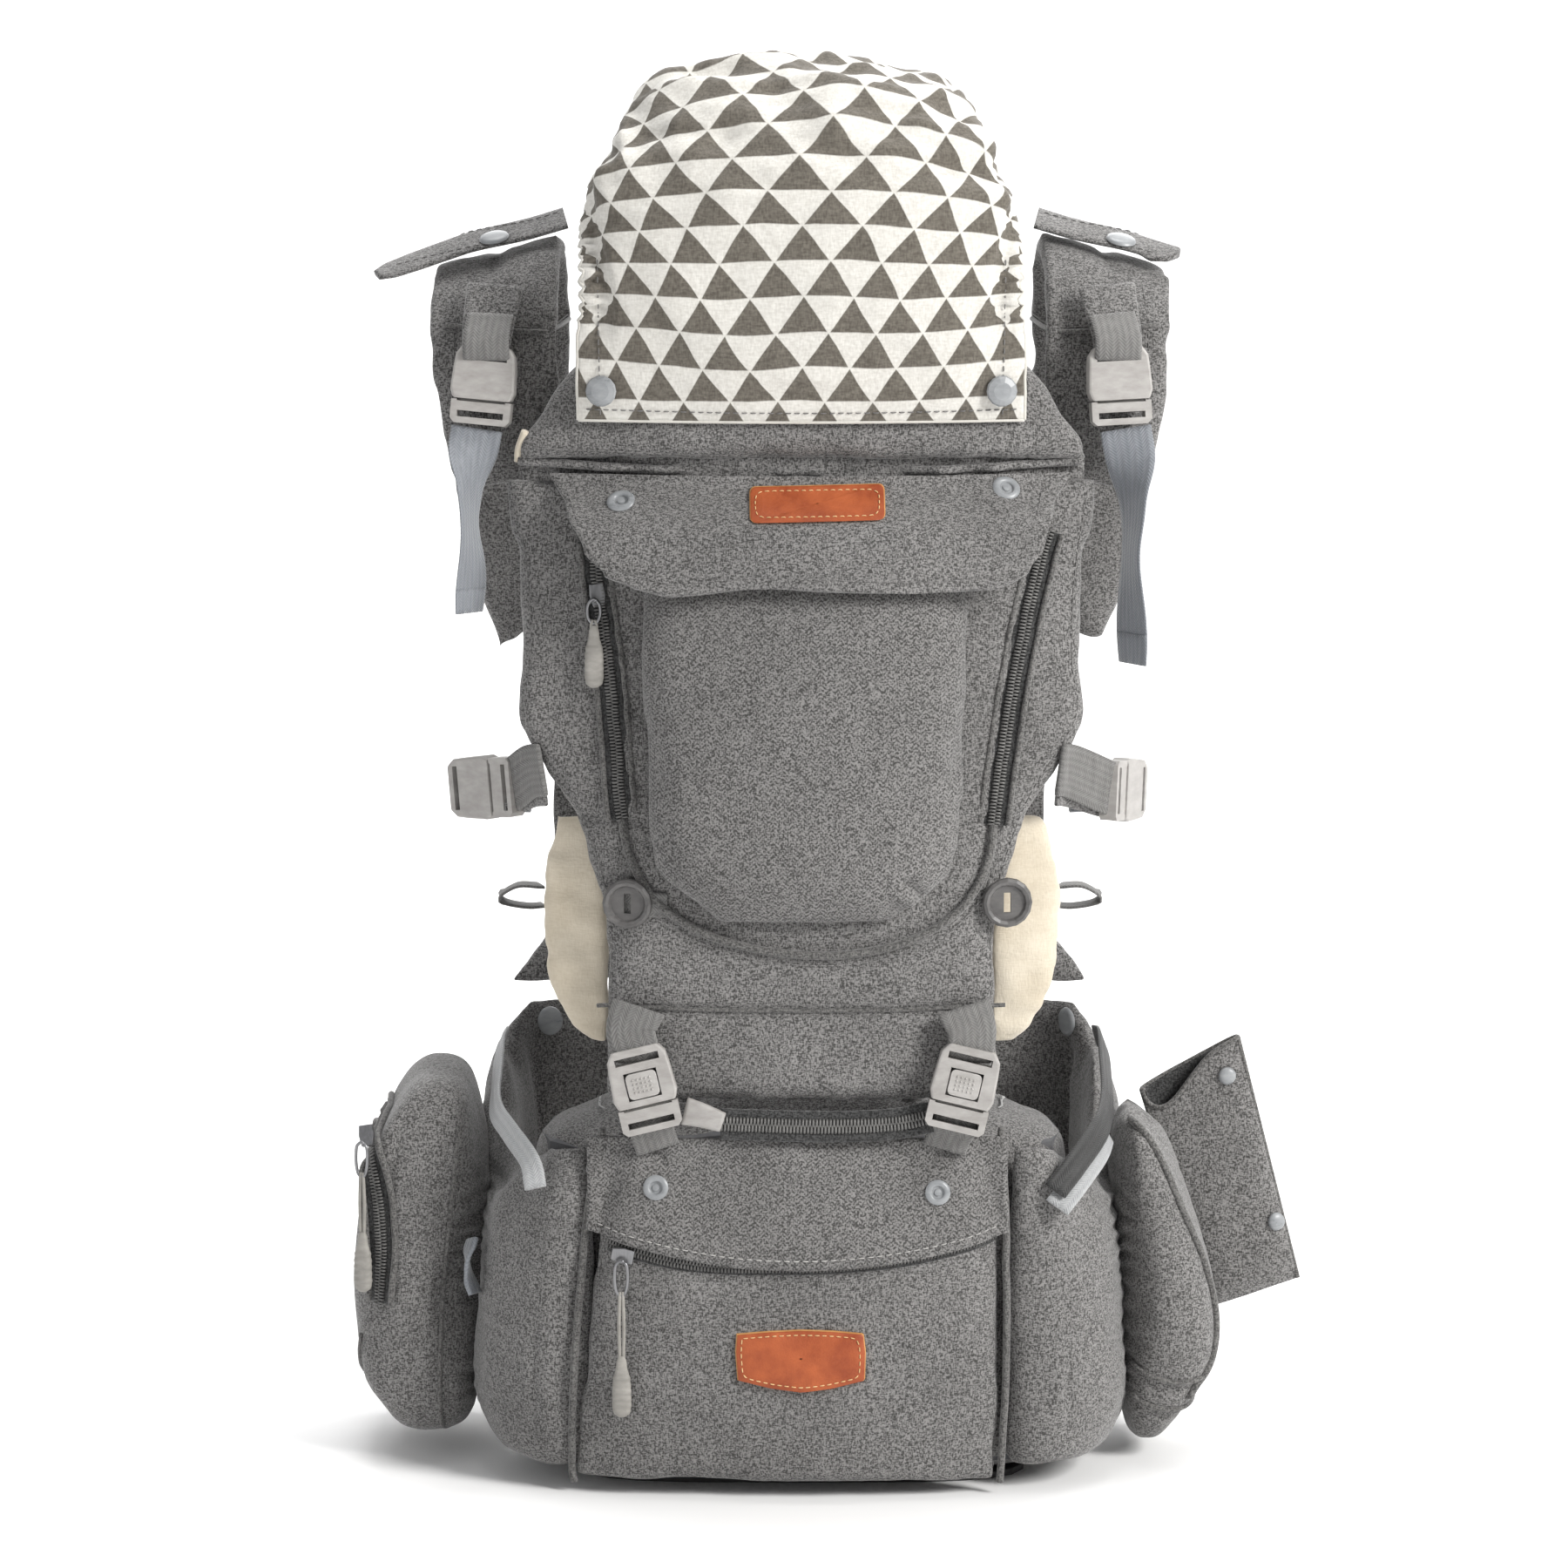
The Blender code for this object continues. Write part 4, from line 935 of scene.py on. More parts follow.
for side, name in ((-1, "left"), (1, "right")):
    edge = side * 142
    soften(f"belt_padding_{name}", wing_mesh(side), "carrier", GREY, voxel=4.5, cap=4.5, shrink=1.2, fill=0.6,
           shape=wrinkled(1.3, 26, (1, 1, 0.8), [[(side * 122, -90, 8), (side * 121, -88, 80),
                                                  (side * 116, -90, 156)]],
                          2.6, 1.5, side * 2.0, gathers(edge, 20, 150, 15, 1.1, 7.5)),
           replaces=[f"belt_wing_{name}"])


def pouch_shape(co):
    x, y, z = co.T.copy()
    cut = np.interp(z, (110, 146, 165, 182), (0, 6, 15, 28))
    x = np.where(x < -179.5, np.maximum(x, -206 + cut * 1.15), x)
    outer = step(-x, 184, 198)
    z = z + outer * 15 * (1 - np.clip((z - 9) / 60, 0, 1))
    return np.stack([x, y, z], axis=1)


soften("pouch_body", squared((-176.5, 6, 94), (29.5, 53, 86), 6.0, pouch_shape), "carrier", GREY, voxel=4.5,
       cap=5.0, shrink=1.6, fill=0.6, replaces=["pouch_left"],
       shape=wrinkled(1.5, 34, (1, 1, 0.6), [[(-193, -43, 10), (-195, -47, 60), (-192, -48, 120),
                                              (-180, -44, 170)],
                                             [(-168, -47, 5), (-165, -48, 80), (-159, -44, 176)]], 3.0, 1.6,
                      1.0, gathers(-152, 20, 150, 14, 1.6, 9)))


def pod_shape(co):
    x, y, z = co.T.copy()
    heights = (4, 25, 36, 52, 67, 96, 133, 158, 170)
    outer = np.interp(z, heights, (172, 181, 187, 193, 195, 188, 173, 161, 152))
    share = np.clip((x - 146.5) / 40, 0, 1)
    x = 146.5 + share * (outer - 146.5)
    return np.stack([x, y, z], axis=1)


soften("pod_body", squared((166.5, -6, 86), (20, 47, 82), 4.0, pod_shape), "carrier", GREY, voxel=4.5,
       cap=5.0,
       shrink=1.2, fill=0.6, replaces=["pod_right"],
       shape=wrinkled(1.6, 32, (1, 1, 0.6), [[(150, -56, 40), (176, -48, 36), (192, -30, 40)],
                                             [(150, -52, 24), (172, -44, 22), (186, -30, 24)]], 2.6, 1.6, 2.0,
                      gathers(150, 20, 150, 14, 1.4, 9)))

inflate_all()

PIECE = {s["name"]: s["obj"] for s in SOFT}

# ---------------------------------------------------------------- the parts' own better materials

CAD_MATERIALS = {"seat_base": SOLE, "seat_core": FOAM, "ring_button_left": RINGS, "ring_button_right": RINGS,
                 "hood_snap_left": SNAPS, "hood_snap_right": SNAPS}
for node_name, node in NODES.items():
    paint = CAD_MATERIALS.get(node_name)
    if paint is None and "buckle" in node_name:
        paint = BUTTON if "button" in node_name else PLASTIC
    if paint is None and node_name.endswith("_slider"):
        paint = METAL
    if paint is not None:
        for place in node.material_slots:
            place.material = paint


# ---------------------------------------------------------------- hood

HOOD_SPINE = [(0, -73.5, 484), (0, -80, 508), (0, -86, 540), (0, -83, 580), (0, -66, 616), (0, -36, 638),
              (0, -8, 641), (0, 14, 626), (0, 24, 600)]


def hood_surface(u, share, spine):
    half = keyed(((0, 99), (0.4, 99), (0.62, 88), (0.8, 78), (1, 74)), share)
    wrap = keyed(((0, 0.0), (0.18, 0.1), (0.5, 0.8), (1, 0.9)), share)
    x = half * (u + (np.sin(u * math.pi / 2) - u) * wrap)
    inward = np.array([0, -14, 545]) - spine
    inward /= np.linalg.norm(inward, axis=-1, keepdims=True)
    drop = keyed(((0, 0), (0.2, 14), (0.45, 34), (0.7, 46), (1, 30)), share)
    at = spine + inward * (drop * np.abs(u) ** 2.6)[..., None]
    flat = 1 - step(share * 4, 0, 1)
    return np.stack([x, at[..., 1] + flat * 0.0011 * x * x, at[..., 2]], axis=-1)


def hood():
    columns, rows = 120, 130
    spine = smooth_line(HOOD_SPINE, rows)
    share = np.linspace(0, 1, rows)
    u = np.linspace(-1, 1, columns)
    uu, ss = np.meshgrid(u, share)
    grid = hood_surface(uu, ss, np.repeat(spine[:, None], columns, axis=1))
    along = np.linalg.norm(np.diff(spine, axis=0), axis=1).cumsum()
    along = np.concatenate([[0], along])
    uv = np.stack([uu * 104 * (1 + 0.05 * np.abs(uu)), np.repeat(along[:, None], columns, axis=1) + 6.5],
                  axis=2)
    du = np.gradient(grid, axis=1)
    dv = np.gradient(grid, axis=0)
    normal = np.cross(du, dv)
    normal /= np.maximum(np.linalg.norm(normal, axis=2, keepdims=True), 1e-9)
    flat = grid.reshape(-1, 3)
    edge = np.clip((np.abs(uu) - 0.78) / 0.16, 0, 1) * step(ss, 0.12, 0.2) * (1 - step(ss, 0.62, 0.8))
    uneven = fractal(flat, 24, (1, 1, 1), 1, 3).reshape(uu.shape)
    wave = np.sin(along[:, None] / 7.4 * 2 * np.pi + 1.8 * uneven)
    big = fractal(flat, 34, (0.75, 1, 1), 3, 1.0).reshape(uu.shape)
    tight = fractal(flat, 17, (0.5, 1, 1.3), 2, 6.0).reshape(uu.shape)
    top = step(ss, 0.34, 0.52)
    hem = step(ss, 0.0, 0.06)
    ridge = 1 - 3.2 * np.abs(fractal(flat, 44, (0.5, 1, 1.5), 2, 11.0)).reshape(uu.shape)
    push = hem * (1.8 + 2.6 * top) * big + (0.6 + 2.6 * top) * hem * tight + 1.8 * edge * wave
    push += hem * (0.4 + 2.4 * top) * np.clip(ridge, -0.6, 1)
    pinch = step(np.abs(uu), 0.80, 0.86) * (1 - step(np.abs(uu), 0.9, 0.97)) * step(ss, 0.1, 0.2)
    push -= 2.2 * pinch * (1 - step(ss, 0.6, 0.75))
    grid = grid + normal * push[..., None]
    shrink_in = 1 - 0.022 * edge * (1 + wave)
    grid[..., 0] *= shrink_in
    obj = add_mesh("hood_cloth", grid.reshape(-1, 3), grid_faces(columns, rows), PRINT, None,
                   uv.reshape(-1, 2))
    thickened(obj, 0.0014)
    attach(obj, "hood")
    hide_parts("hood")
    rims = [grid[0], grid[:, 0], grid[:, -1], grid[-1]]
    for k, rim in enumerate(rims):
        piece = tube(f"hood_edge_{k}", resample(rim, 120), 1.0, EDGING, "hood", 6)
    lines = []
    front = Surface(obj)
    for knots in ([(-96, 489), (0, 488), (96, 489)], [(-89, 486), (-89.5, 520), (-90, 556)],
                  [(89, 486), (89.5, 520), (90, 556)]):
        line, n = front.trace(knots, 0.3, 2.0)
        lines.append((line, n))
    sewn = stitches("hood_stitches", lines, THREAD, "hood", 2.4, 1.4, 0.3)
    return obj


HOOD = hood()

# ---------------------------------------------------------------- headrest, flap and panel details

panel = PIECE["panel_shell"]


def panel_front(x, z):
    lean = np.interp(z, (176, 222, 459.5), (-88, -87, -66))
    return lean + 0.0011 * np.asarray(x, float) ** 2


def crossing_cloth():
    """Cloth behind the fold, from the panel's top to the headrest."""
    columns, rows = 60, 16
    xs = np.linspace(-126, 126, columns)
    zs = np.linspace(444, 480, rows)
    grid = np.array([[(x * (1 if z < 462 else 1 - (z - 462) * 0.003),
                       panel_front(x, min(z, 459.5)) + 5 + 0.8 * math.sin(x / 19.0),
                       z) for x in xs] for z in zs])
    obj = add_mesh("headrest_fold", grid.reshape(-1, 3), grid_faces(columns, rows), GREY)
    thickened(obj, 0.005)
    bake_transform(obj)


crossing_cloth()

rest = Surface(PIECE["headrest_pad"])
piping("headrest_lower_roll", rest, [(-126, 465.5), (-60, 462.5), (0, 461.8), (60, 462.5), (126, 465.5)], 2.0,
       "headrest", GREY, sink=0.45)
stitches("headrest_stitches", [rest.trace([(-120, 471), (0, 468.5), (120, 471)], 0.2)], THREAD, "headrest")
tube("headrest_lining_edge", smooth_line([(-126.5, -50, 464), (-126, -50.5, 470), (-123, -53, 478)], 12),
     1.8, CREAM, "headrest", 8)


def flap_half(share, right):
    left = keyed(((0, 62), (0.06, 76), (0.16, 89), (0.36, 98), (0.7, 106), (1, 114)), share)
    other = keyed(((0, 84), (0.05, 93), (0.14, 99), (0.34, 105), (0.7, 110), (1, 118)), share)
    return other if right else left


def flap_out(z):
    return keyed(((408, 29), (432, 24), (459, 3.4)), z)


def flap_point(u, share):
    x = u * flap_half(share, u > 0) + 2
    low = 411 + 4.5 * max(0.0, u) ** 2 + 2.2 * math.cos(u * 3.0 + 0.4) - 1.0 + 1.2 * max(0.0, -u)
    z = low + (459.4 - low) * share
    y = float(panel_front(x, z) - flap_out(z))
    curl = (1 - share) ** 3
    y += -2.0 * curl * math.sin(u * 5.2 + 0.7) + 5.0 * max(0.0, abs(u) - 0.55) * share ** 0.4
    return x, y, z


def flap():
    columns, rows = 90, 34
    us = np.linspace(-1, 1, columns)
    shares = np.linspace(0, 1, rows)
    grid = np.array([[flap_point(u, s) for u in us] for s in shares])
    noise_push = 0.7 * fractal(grid.reshape(-1, 3), 24, (0.8, 1, 1), 2, 5).reshape(rows, columns)
    near = near_line(grid.reshape(-1, 3)[:, [0, 2]], np.array([(84, 452), (96, 440), (104, 432)]))
    noise_push += 1.4 * np.exp(-(near / 4) ** 2).reshape(rows, columns)
    grid[..., 1] -= noise_push
    obj = add_mesh("flap_cloth", grid.reshape(-1, 3), grid_faces(columns, rows), GREY)
    thickened(obj, 0.003)
    obj.modifiers.new("Edges", "BEVEL").width = 0.001
    applied(obj)
    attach(obj, "pocket_flap")
    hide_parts("pocket_flap")
    return obj


FLAP = flap()
on_flap = Surface(FLAP)
border = [(flap_point(u, 0.0)) for u in np.linspace(-1, 1, 30)]
hem = [(x * 0.985 + 0.03, z + 5) for x, _, z in border]
left_end, right_end = [(-104, 452), (-99, 440), (-90, 424)], [(96, 424), (103, 438), (107, 452)]
hem = left_end + [p for p in hem if -76 < p[0] < 86] + right_end
sewn_flap = stitches("flap_stitches", [on_flap.trace(hem, 0.1)], THREAD, "pocket_flap", 2.3, 1.5, 0.3)


def socket_snap(name, surface, x, z, body, radius=6.2):
    """A ring-shaped press-stud with a sunken middle."""
    place, n = surface.face(x, z, (0, z))
    stud(name, place, n, body, [(radius, 0.0), (radius * 1.02, 0.6), (radius * 0.9, 1.3),
                                (radius * 0.66, 1.5),
                                (radius * 0.52, 1.1), (radius * 0.48, 0.3), (radius * 0.3, 0.2),
                                (radius * 0.26, 0.8), (radius * 0.12, 1.0), (0, 1.0)], SNAPS)


def stud(name, place, n, body, profile, material, steps_round=28):
    up = np.array([0, 0, 1.0]) if abs(n[2]) < 0.9 else np.array([1.0, 0, 0])
    a = np.cross(up, n)
    a /= np.linalg.norm(a)
    b = np.cross(n, a)
    points = []
    for r, h in profile:
        for k in range(steps_round):
            t = 2 * math.pi * k / steps_round
            points.append(place + (a * math.cos(t) + b * math.sin(t)) * max(r, 0.01) + n * h)
    faces = grid_faces(steps_round, len(profile), closed=True)
    faces.append(tuple(range(steps_round))[::-1])
    faces.append(tuple((len(profile) - 1) * steps_round + k for k in range(steps_round)))
    return face_out(add_mesh(name, points, faces, material, body, sharp=50), False)


CAP = [(6.4, 0), (6.9, 0.5), (6.5, 1.4), (5.2, 2.0), (3.0, 2.35), (0, 2.45)]

socket_snap("flap_snap_left", on_flap, -80, 448.5, "pocket_flap")
socket_snap("flap_snap_right", on_flap, 91, 453.5, "pocket_flap")


def leather_patch(name, surface, outline, body, replaces, lift=0.7, thick=1.7):
    """A leather label laid on a surface, its outline in (x, z), with a cut edge and a stitched border."""
    outline = np.asarray(outline, float)
    middle = outline.mean(axis=0)
    rings = [1.0, 0.985, 0.95, 0.8, 0.6, 0.4, 0.2, 0.02]
    heights = [0.0, thick * 0.75, thick, thick, thick, thick, thick, thick]
    dense = resample(np.vstack([outline, outline[:1]]), 121)[:-1]
    points = []
    for ring, height in zip(rings, heights):
        for p in dense:
            q = middle + (p - middle) * ring
            place, _ = surface.face(q[0], q[1], middle)
            points.append(place + np.array([0, -1, 0]) * (lift + height))
    count = len(dense)
    depth = np.array(points).reshape(len(rings), count, 3)
    y = depth[..., 1]
    for _ in range(6):
        y[:] = (np.roll(y, 1, axis=1) + y * 2 + np.roll(y, -1, axis=1)) / 4
    depth[..., 1] = y
    points = depth.reshape(-1, 3)
    faces = grid_faces(count, len(rings), closed=True)
    back = points[:count] + np.array([0, 1.2, 0])
    points = np.vstack([points, back])
    start = len(rings) * count
    for k in range(count):
        m = (k + 1) % count
        faces.append((start + k, start + m, m, k))
    faces.append(tuple(start + k for k in range(count))[::-1])
    obj = add_mesh(name, points, faces, LEATHER, None, sharp=40)
    obj.data.materials.append(LEATHER_EDGE)
    for polygon in obj.data.polygons:
        if polygon.index < count or polygon.index >= (len(rings) - 1) * count:
            polygon.material_index = 1
    face_out(obj, False)
    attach(obj, body)
    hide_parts(replaces)
    top = Surface(obj)
    inner = middle + (dense - middle) * np.array([1 - 2.6 / np.ptp(dense[:, 0]) * 2,
                                                  1 - 2.2 / np.ptp(dense[:, 1]) * 2])
    line, n = top.trace(np.vstack([inner, inner[:1]]), 0.05, 1.5, smooth=False)
    stitches(f"{name}_stitches", [(line, n)], TAN_THREAD, body, 1.9, 1.3, 0.26)
    return obj


def round_box(cx, cz, width, height, radius, tilt=0.0):
    out = []
    for k, (sx, sz) in enumerate(((1, 1), (-1, 1), (-1, -1), (1, -1))):
        for t in np.linspace(0, 1, 6):
            a = math.pi / 2 * (k + t)
            out.append((sx * (width / 2 - radius) + radius * math.cos(a),
                        sz * (height / 2 - radius) + radius * math.sin(a)))
    out = np.array(out)
    c, q = math.cos(tilt), math.sin(tilt)
    return out @ np.array([[c, q], [-q, c]]) + (cx, cz)


leather_patch("flap_label", on_flap, round_box(7, 448.6, 60, 14.6, 2.5, 0.02), "pocket_flap", "flap_patch")

# chest pocket: piping round its foot, coil up both sides
on_panel = Surface(panel)
left_coil = [(-92.5, 430), (-90, 405), (-85, 368), (-81.5, 325), (-80, 306)]
right_coil = [(110, 434), (101.5, 400), (94, 360), (88.5, 323), (86, 303)]
foot = [(-80, 306), (-76, 288), (-66, 271), (-48, 258), (-22, 249.5), (8, 246.5), (36, 249), (60, 258),
        (76, 272), (84, 290), (86, 303)]
for name, knots in (("left", left_coil), ("right", right_coil)):
    line, n = on_panel.trace(knots, 1.5, 2.0)
    # the near-black tape is painted shade in the zip's groove
    tape(f"chest_tape_{name}", line, n, 12, "carrier", SHADE_CLOTH)
    coil = zip_teeth(f"chest_coil_{name}", line + n * 0.7, n, 5.2, "carrier")
    if name == "left":
        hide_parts("chest_zip_chain")
    for shift in (-6.4, 6.4):
        edge, en = seam_line(line, n, shift)
        tube(f"chest_fold_{name}_{'in' if shift < 0 else 'out'}", edge + n * 0.5, 1.3, SEAM, "carrier", 7)
piping("chest_foot_piping", on_panel, foot, 1.9, "carrier", SEAM, sink=0.3)
line, n = on_panel.trace(foot, 0.2)
outer, on = seam_line(line, n, 4.5)
stitches("chest_foot_stitches", [(outer, on)], THREAD, "carrier", 2.4, 1.5, 0.3)

panel_lines = []
for knots in ([(-101, 306), (-90, 306)], [(91, 306), (101, 306)], [(-100, 303.5), (-90, 303.5)],
              [(91, 303.5), (100, 303.5)], [(-90, 224.5), (0, 224.5), (90, 224.5)],
              [(-88, 219.5), (0, 219.5), (88, 219.5)],
              [(-128, 452), (-122, 412), (-121, 375), (-123, 350), (-100, 311), (-86, 266), (-85, 226)],
              [(128, 452), (122, 412), (121, 375), (123, 350), (100, 311), (86, 266), (85, 226)]):
    panel_lines.append(on_panel.trace(knots, 0.1))
stitches("panel_stitches", panel_lines, THREAD, "carrier", 2.4, 1.6, 0.3)
piping("panel_middle_seam", on_panel, [(-91, 222), (0, 222), (91, 222)], 1.0, "carrier", SEAM, sink=0.4)

# ---------------------------------------------------------------- straps, buckles and webbing


def tail(side, name, low):
    line = smooth_line([(side * 145, -46, 478.5), (side * 147.5, -50, 462), (side * 148.2, -54.5, 440),
                        (side * 147.2, -56.5, 418), (side * 148.5, -57, low)], 40)
    share = np.linspace(0, 1, 40)
    turn = step(share, 0, 0.33)
    wave = 0.16 * np.sin(share * 9)
    across = np.stack([1 - 0.58 * turn + wave, -side * 0.9 * turn, 0 * share], axis=1)
    obj = strap(f"tail_{name}", line, across, 23.0, 1.5, WEBBING, f"top_plug_{name}")
    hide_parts(f"webbing_tail_{name}")
    end = line[-6:] + np.array([0, -1.2, 0])
    strap(f"tail_{name}_hem", end, across[-6:], 22.6, 1.5, WEBBING, f"top_plug_{name}")


tail(-1, "left", 397)
tail(1, "right", 374)

for side, name, reach in ((-1, "left", 192), (1, "right", 168)):
    knots = [(side * 107, 12, 569), (side * 125, 11, 563.8), (side * 147, 8, 559), (side * 160, 5, 555),
             (side * reach, -4, 544 if side < 0 else 552)]
    line = smooth_line(knots, 40)
    width = np.interp(np.linspace(0, 1, 40), (0, 0.8, 0.93, 1), (25, 21, 18, 9))
    obj = strap(f"tab_{name}", line, (0, 0.95, 0.32), width, 2.6, GREY, f"strap_tab_{name}", power=4)
    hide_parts(f"strap_tab_{name}")
    on_tab = Surface(obj)
    x = side * (139 if side < 0 else 145)
    place, n = on_tab.hit((x, 3, 640), (0, 0, -1))
    stud(f"tab_snap_{name}", place, n, f"strap_tab_{name}", CAP, SNAPS)
    edge = []
    for y in (-1, 17):
        pts, ns = [], []
        for sx in np.linspace(110, reach - 8, 30):
            at, nn = on_tab.hit((side * sx, y, 640), (0, 0, -1))
            if at is not None:
                pts.append(at + nn * 0.1)
                ns.append(nn)
        if len(pts) > 4:
            edge.append((np.array(pts), np.array(ns)))
    stitches(f"tab_stitches_{name}", edge, THREAD, f"strap_tab_{name}", 2.4, 1.5, 0.3)

for side, name in ((-1, "left"), (1, "right")):
    pad = Surface(PIECE[f"strap_padding_{name}"])
    lines = []
    for z in (519, 523):
        lines.append(pad.trace([(side * 108, z - 1), (side * 138, z), (side * 166, z + 2)], 0.1))
    lines.append(pad.trace([(side * 154, 540), (side * 156, 515), (side * 152, 455)], 0.1))
    stitches(f"strap_stitches_{name}", lines, THREAD, "carrier", 2.4, 1.6, 0.3)
    piping(f"strap_seam_{name}", pad, [(side * 108, 520), (side * 138, 521), (side * 160, 523)], 1.1,
           "carrier",
           SEAM, sink=0.3)
    # the loop that holds the upper buckle's socket to the strap
    lean = -0.2 if side < 0 else 0.16
    foot_at = np.array([side * 142.5, -44, 491])
    along = np.array([side * 0.1 - lean, 0.12, 1])
    along /= np.linalg.norm(along)
    bar = foot_at + along * 19
    line = smooth_line([bar + (0, 2.4, -2), bar + (0, 1.5, 8), (side * 139, -35, 530),
                        (side * 137, -27, 541)], 18)
    strap(f"socket_loop_{name}", line, (1, side * 0.1, 0.0), np.linspace(21, 26, 18), 2.6, GREY, "carrier")
    line = smooth_line([bar + (0, 2.0, -2.4), bar + (0, -5.6, 1), bar + (0, -4.6, 9),
                        (side * 139, -37.5, 529)], 16)
    strap(f"socket_turn_{name}", line, (1, side * 0.1, 0.0), 21, 1.6, GREY_WEBBING, "carrier")

# lower buckles: a tab from the panel's seam to the socket, and one from the plug to the seat
for side, name in ((-1, "left"), (1, "right")):
    along = np.array([side * 0.24, 0.12, 1])
    along /= np.linalg.norm(along)
    foot_at = np.array([side * 69.5 + 1, -99.5, 181.5])
    bar = foot_at + along * 21
    top_x = side * 72.5
    line = smooth_line([bar + (0, 1.0, -1.5), bar + (0, -1.2, 4), (side * 76, -94.5, 214),
                        (top_x, -90.5, 224)], 16)
    tab = strap(f"lower_tab_{name}", line, (1, side * 0.05, -side * 0.2), np.linspace(19, 25, 16), 2.6,
                GREY_WEBBING,
                "carrier")
    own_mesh(tab)
    bar = foot_at - along * 8
    line = smooth_line([bar + (0, 0.5, 3.0), bar + (0, 2.5, -3), (side * 66, -96, 166),
                        (side * 64, -94, 160)], 14)
    strap(f"lower_anchor_{name}", line, (1, 0, -side * 0.24), 20, 2.4, GREY_WEBBING, "carrier")
    normal = np.array([0, -1, 0.12])
    normal /= np.linalg.norm(normal)
    right_way = np.cross(along, normal)
    centre = foot_at + along * (26 * 0.36) + normal * 5.9
    for row in range(4):
        for column in range(5):
            at = centre + right_way * (column - 2) * 1.9 + along * (row - 1.5) * 1.9
            stud(f"button_dot_{name}_{row}{column}", at - normal * 0.5, normal, f"lower_button_{name}",
                 [(0.55, 0), (0.5, 0.5), (0.3, 0.75), (0, 0.8)], BUTTON, 8)

# side buckles: a loop on the panel and webbing from the socket back to the yoke
for side, name, yaw, start in ((-1, "left", 46, (-138, -38, 315)), (1, "right", 68, (144, -34, 313))):
    turn = math.radians(yaw)
    along = np.array([side * math.cos(turn), math.sin(turn), -0.12])
    along /= np.linalg.norm(along)
    start = np.array(start, float)
    bar = start - along * 9.8
    across = np.cross(along, np.array([side * math.sin(turn), -math.cos(turn), 0]))
    line = smooth_line([(side * 116, -66, 327), (side * 122, -58, 325), bar + (-side * 2, -3.5, 2),
                        bar + along * 1.2], 20)
    obj = strap(f"side_loop_{name}", line, (0.1 * side, 0, 1), 24, 2.6, GREY_WEBBING, "carrier")
    line = smooth_line([(side * 116, -62, 322), (side * 122, -53, 320), bar + (-side * 1.5, 2.6, -1),
                        bar + along * 1.2], 20)
    strap(f"side_loop_under_{name}", line, (0.1 * side, 0, 1), 24, 2.2, GREY, "carrier")
    tip = start + along * 23
    end = np.array([side * 128, 101, 292])
    line = smooth_line([tip - along * 3, tip + along * 1.5, tip + (side * 1.0, 12, -3), (side * 151, 30, 306),
                        (side * 144, 76, 297), end], 50)
    webbing = strap(f"side_webbing_{name}", line, (0, 0, 1), 23, 1.6, WEBBING, None)
    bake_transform(webbing)

# rings and their straps
for side, x, name in ((-1, -77.5, "left"), (1, 92.0, "right")):
    inner, outer_x = (-60, -106) if side < 0 else (84, 112)
    line, n = on_panel.trace([(inner if side < 0 else outer_x, 268), (x, 269),
                              (outer_x if side < 0 else inner, 270)],
                             1.0, 2.0)
    strap(f"ring_strap_{name}", line, (0, 0, 1), 11.5, 1.8, GREY_WEBBING, "carrier")

# side loops on the yoke
for side, name in ((-1, "left"), (1, "right")):
    line = smooth_line([(side * 124, 96, 246), (side * 134, 92, 247), (side * 141, 91, 244),
                        (side * 143, 92, 241),
                        (side * 139, 94, 238), (side * 130, 97, 236), (side * 123, 99, 236)], 36)
    strap(f"yoke_loop_{name}", line, (0, 1, 0), 12, 1.6, GREY_WEBBING, "carrier")

# ---------------------------------------------------------------- the seat's front

on_pocket = Surface(PIECE["front_pocket_body"])


def yoke_low(x):
    return 107 + 14.5 * (np.asarray(x, float) / 93) ** 2


def front_yoke():
    columns, rows = 90, 30
    xs = np.linspace(-96, 92.5, columns)
    points = []
    for j in range(rows):
        share = j / (rows - 1)
        for x in xs:
            z = yoke_low(x) + (164.5 - yoke_low(x)) * share
            place, n = on_pocket.face(x, z)
            sag = 1.9 + 0.9 * (1 - share) ** 2
            points.append(place + np.array([0, -1, 0]) * sag)
    points = np.array(points)
    push = 0.5 * fractal(points, 26, (0.8, 1, 1), 2, 8)
    points[:, 1] -= push
    obj = add_mesh("front_yoke_cloth", points, grid_faces(columns, rows), TWILL)
    thickened(obj, 0.0024)
    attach(obj, "carrier")
    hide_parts("front_pocket_yoke")
    return obj


YOKE = front_yoke()
on_yoke = Surface(YOKE)
stitches("yoke_stitches", [on_yoke.trace([(x, yoke_low(x) + 4.5) for x in np.linspace(-92, 88, 14)], 0.1)],
         PALE_THREAD, "carrier", 2.5, 1.6, 0.3)
socket_snap("front_snap_left", on_yoke, -65, 143, "carrier", 5.6)
socket_snap("front_snap_right", on_yoke, 61, 141, "carrier", 5.6)
knots = [(x, yoke_low(x) + 1.0 - 3.4 * float(step(-x, 0, 60))) for x in np.linspace(-86, 86, 14)]
line, n = on_pocket.trace(knots, 0.2, 2.0)
# the near-black tape peeking from under the yoke's edge is a painted shadow line
tape("front_tape", line, n, 8, "carrier", SHADE_CLOTH)
coil = zip_teeth("front_coil", line + n * 0.5, n, 4.6, "carrier")
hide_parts("front_zip_chain")
leather_patch("front_label", on_pocket,
              [(-29, 78), (-14, 79.4), (0, 79.8), (14, 79.4), (28, 78), (29, 70), (28.6, 57), (14, 53.5),
               (0, 51.6),
               (-14, 53.5), (-28.6, 57), (-29.6, 70)], "carrier", "front_patch")
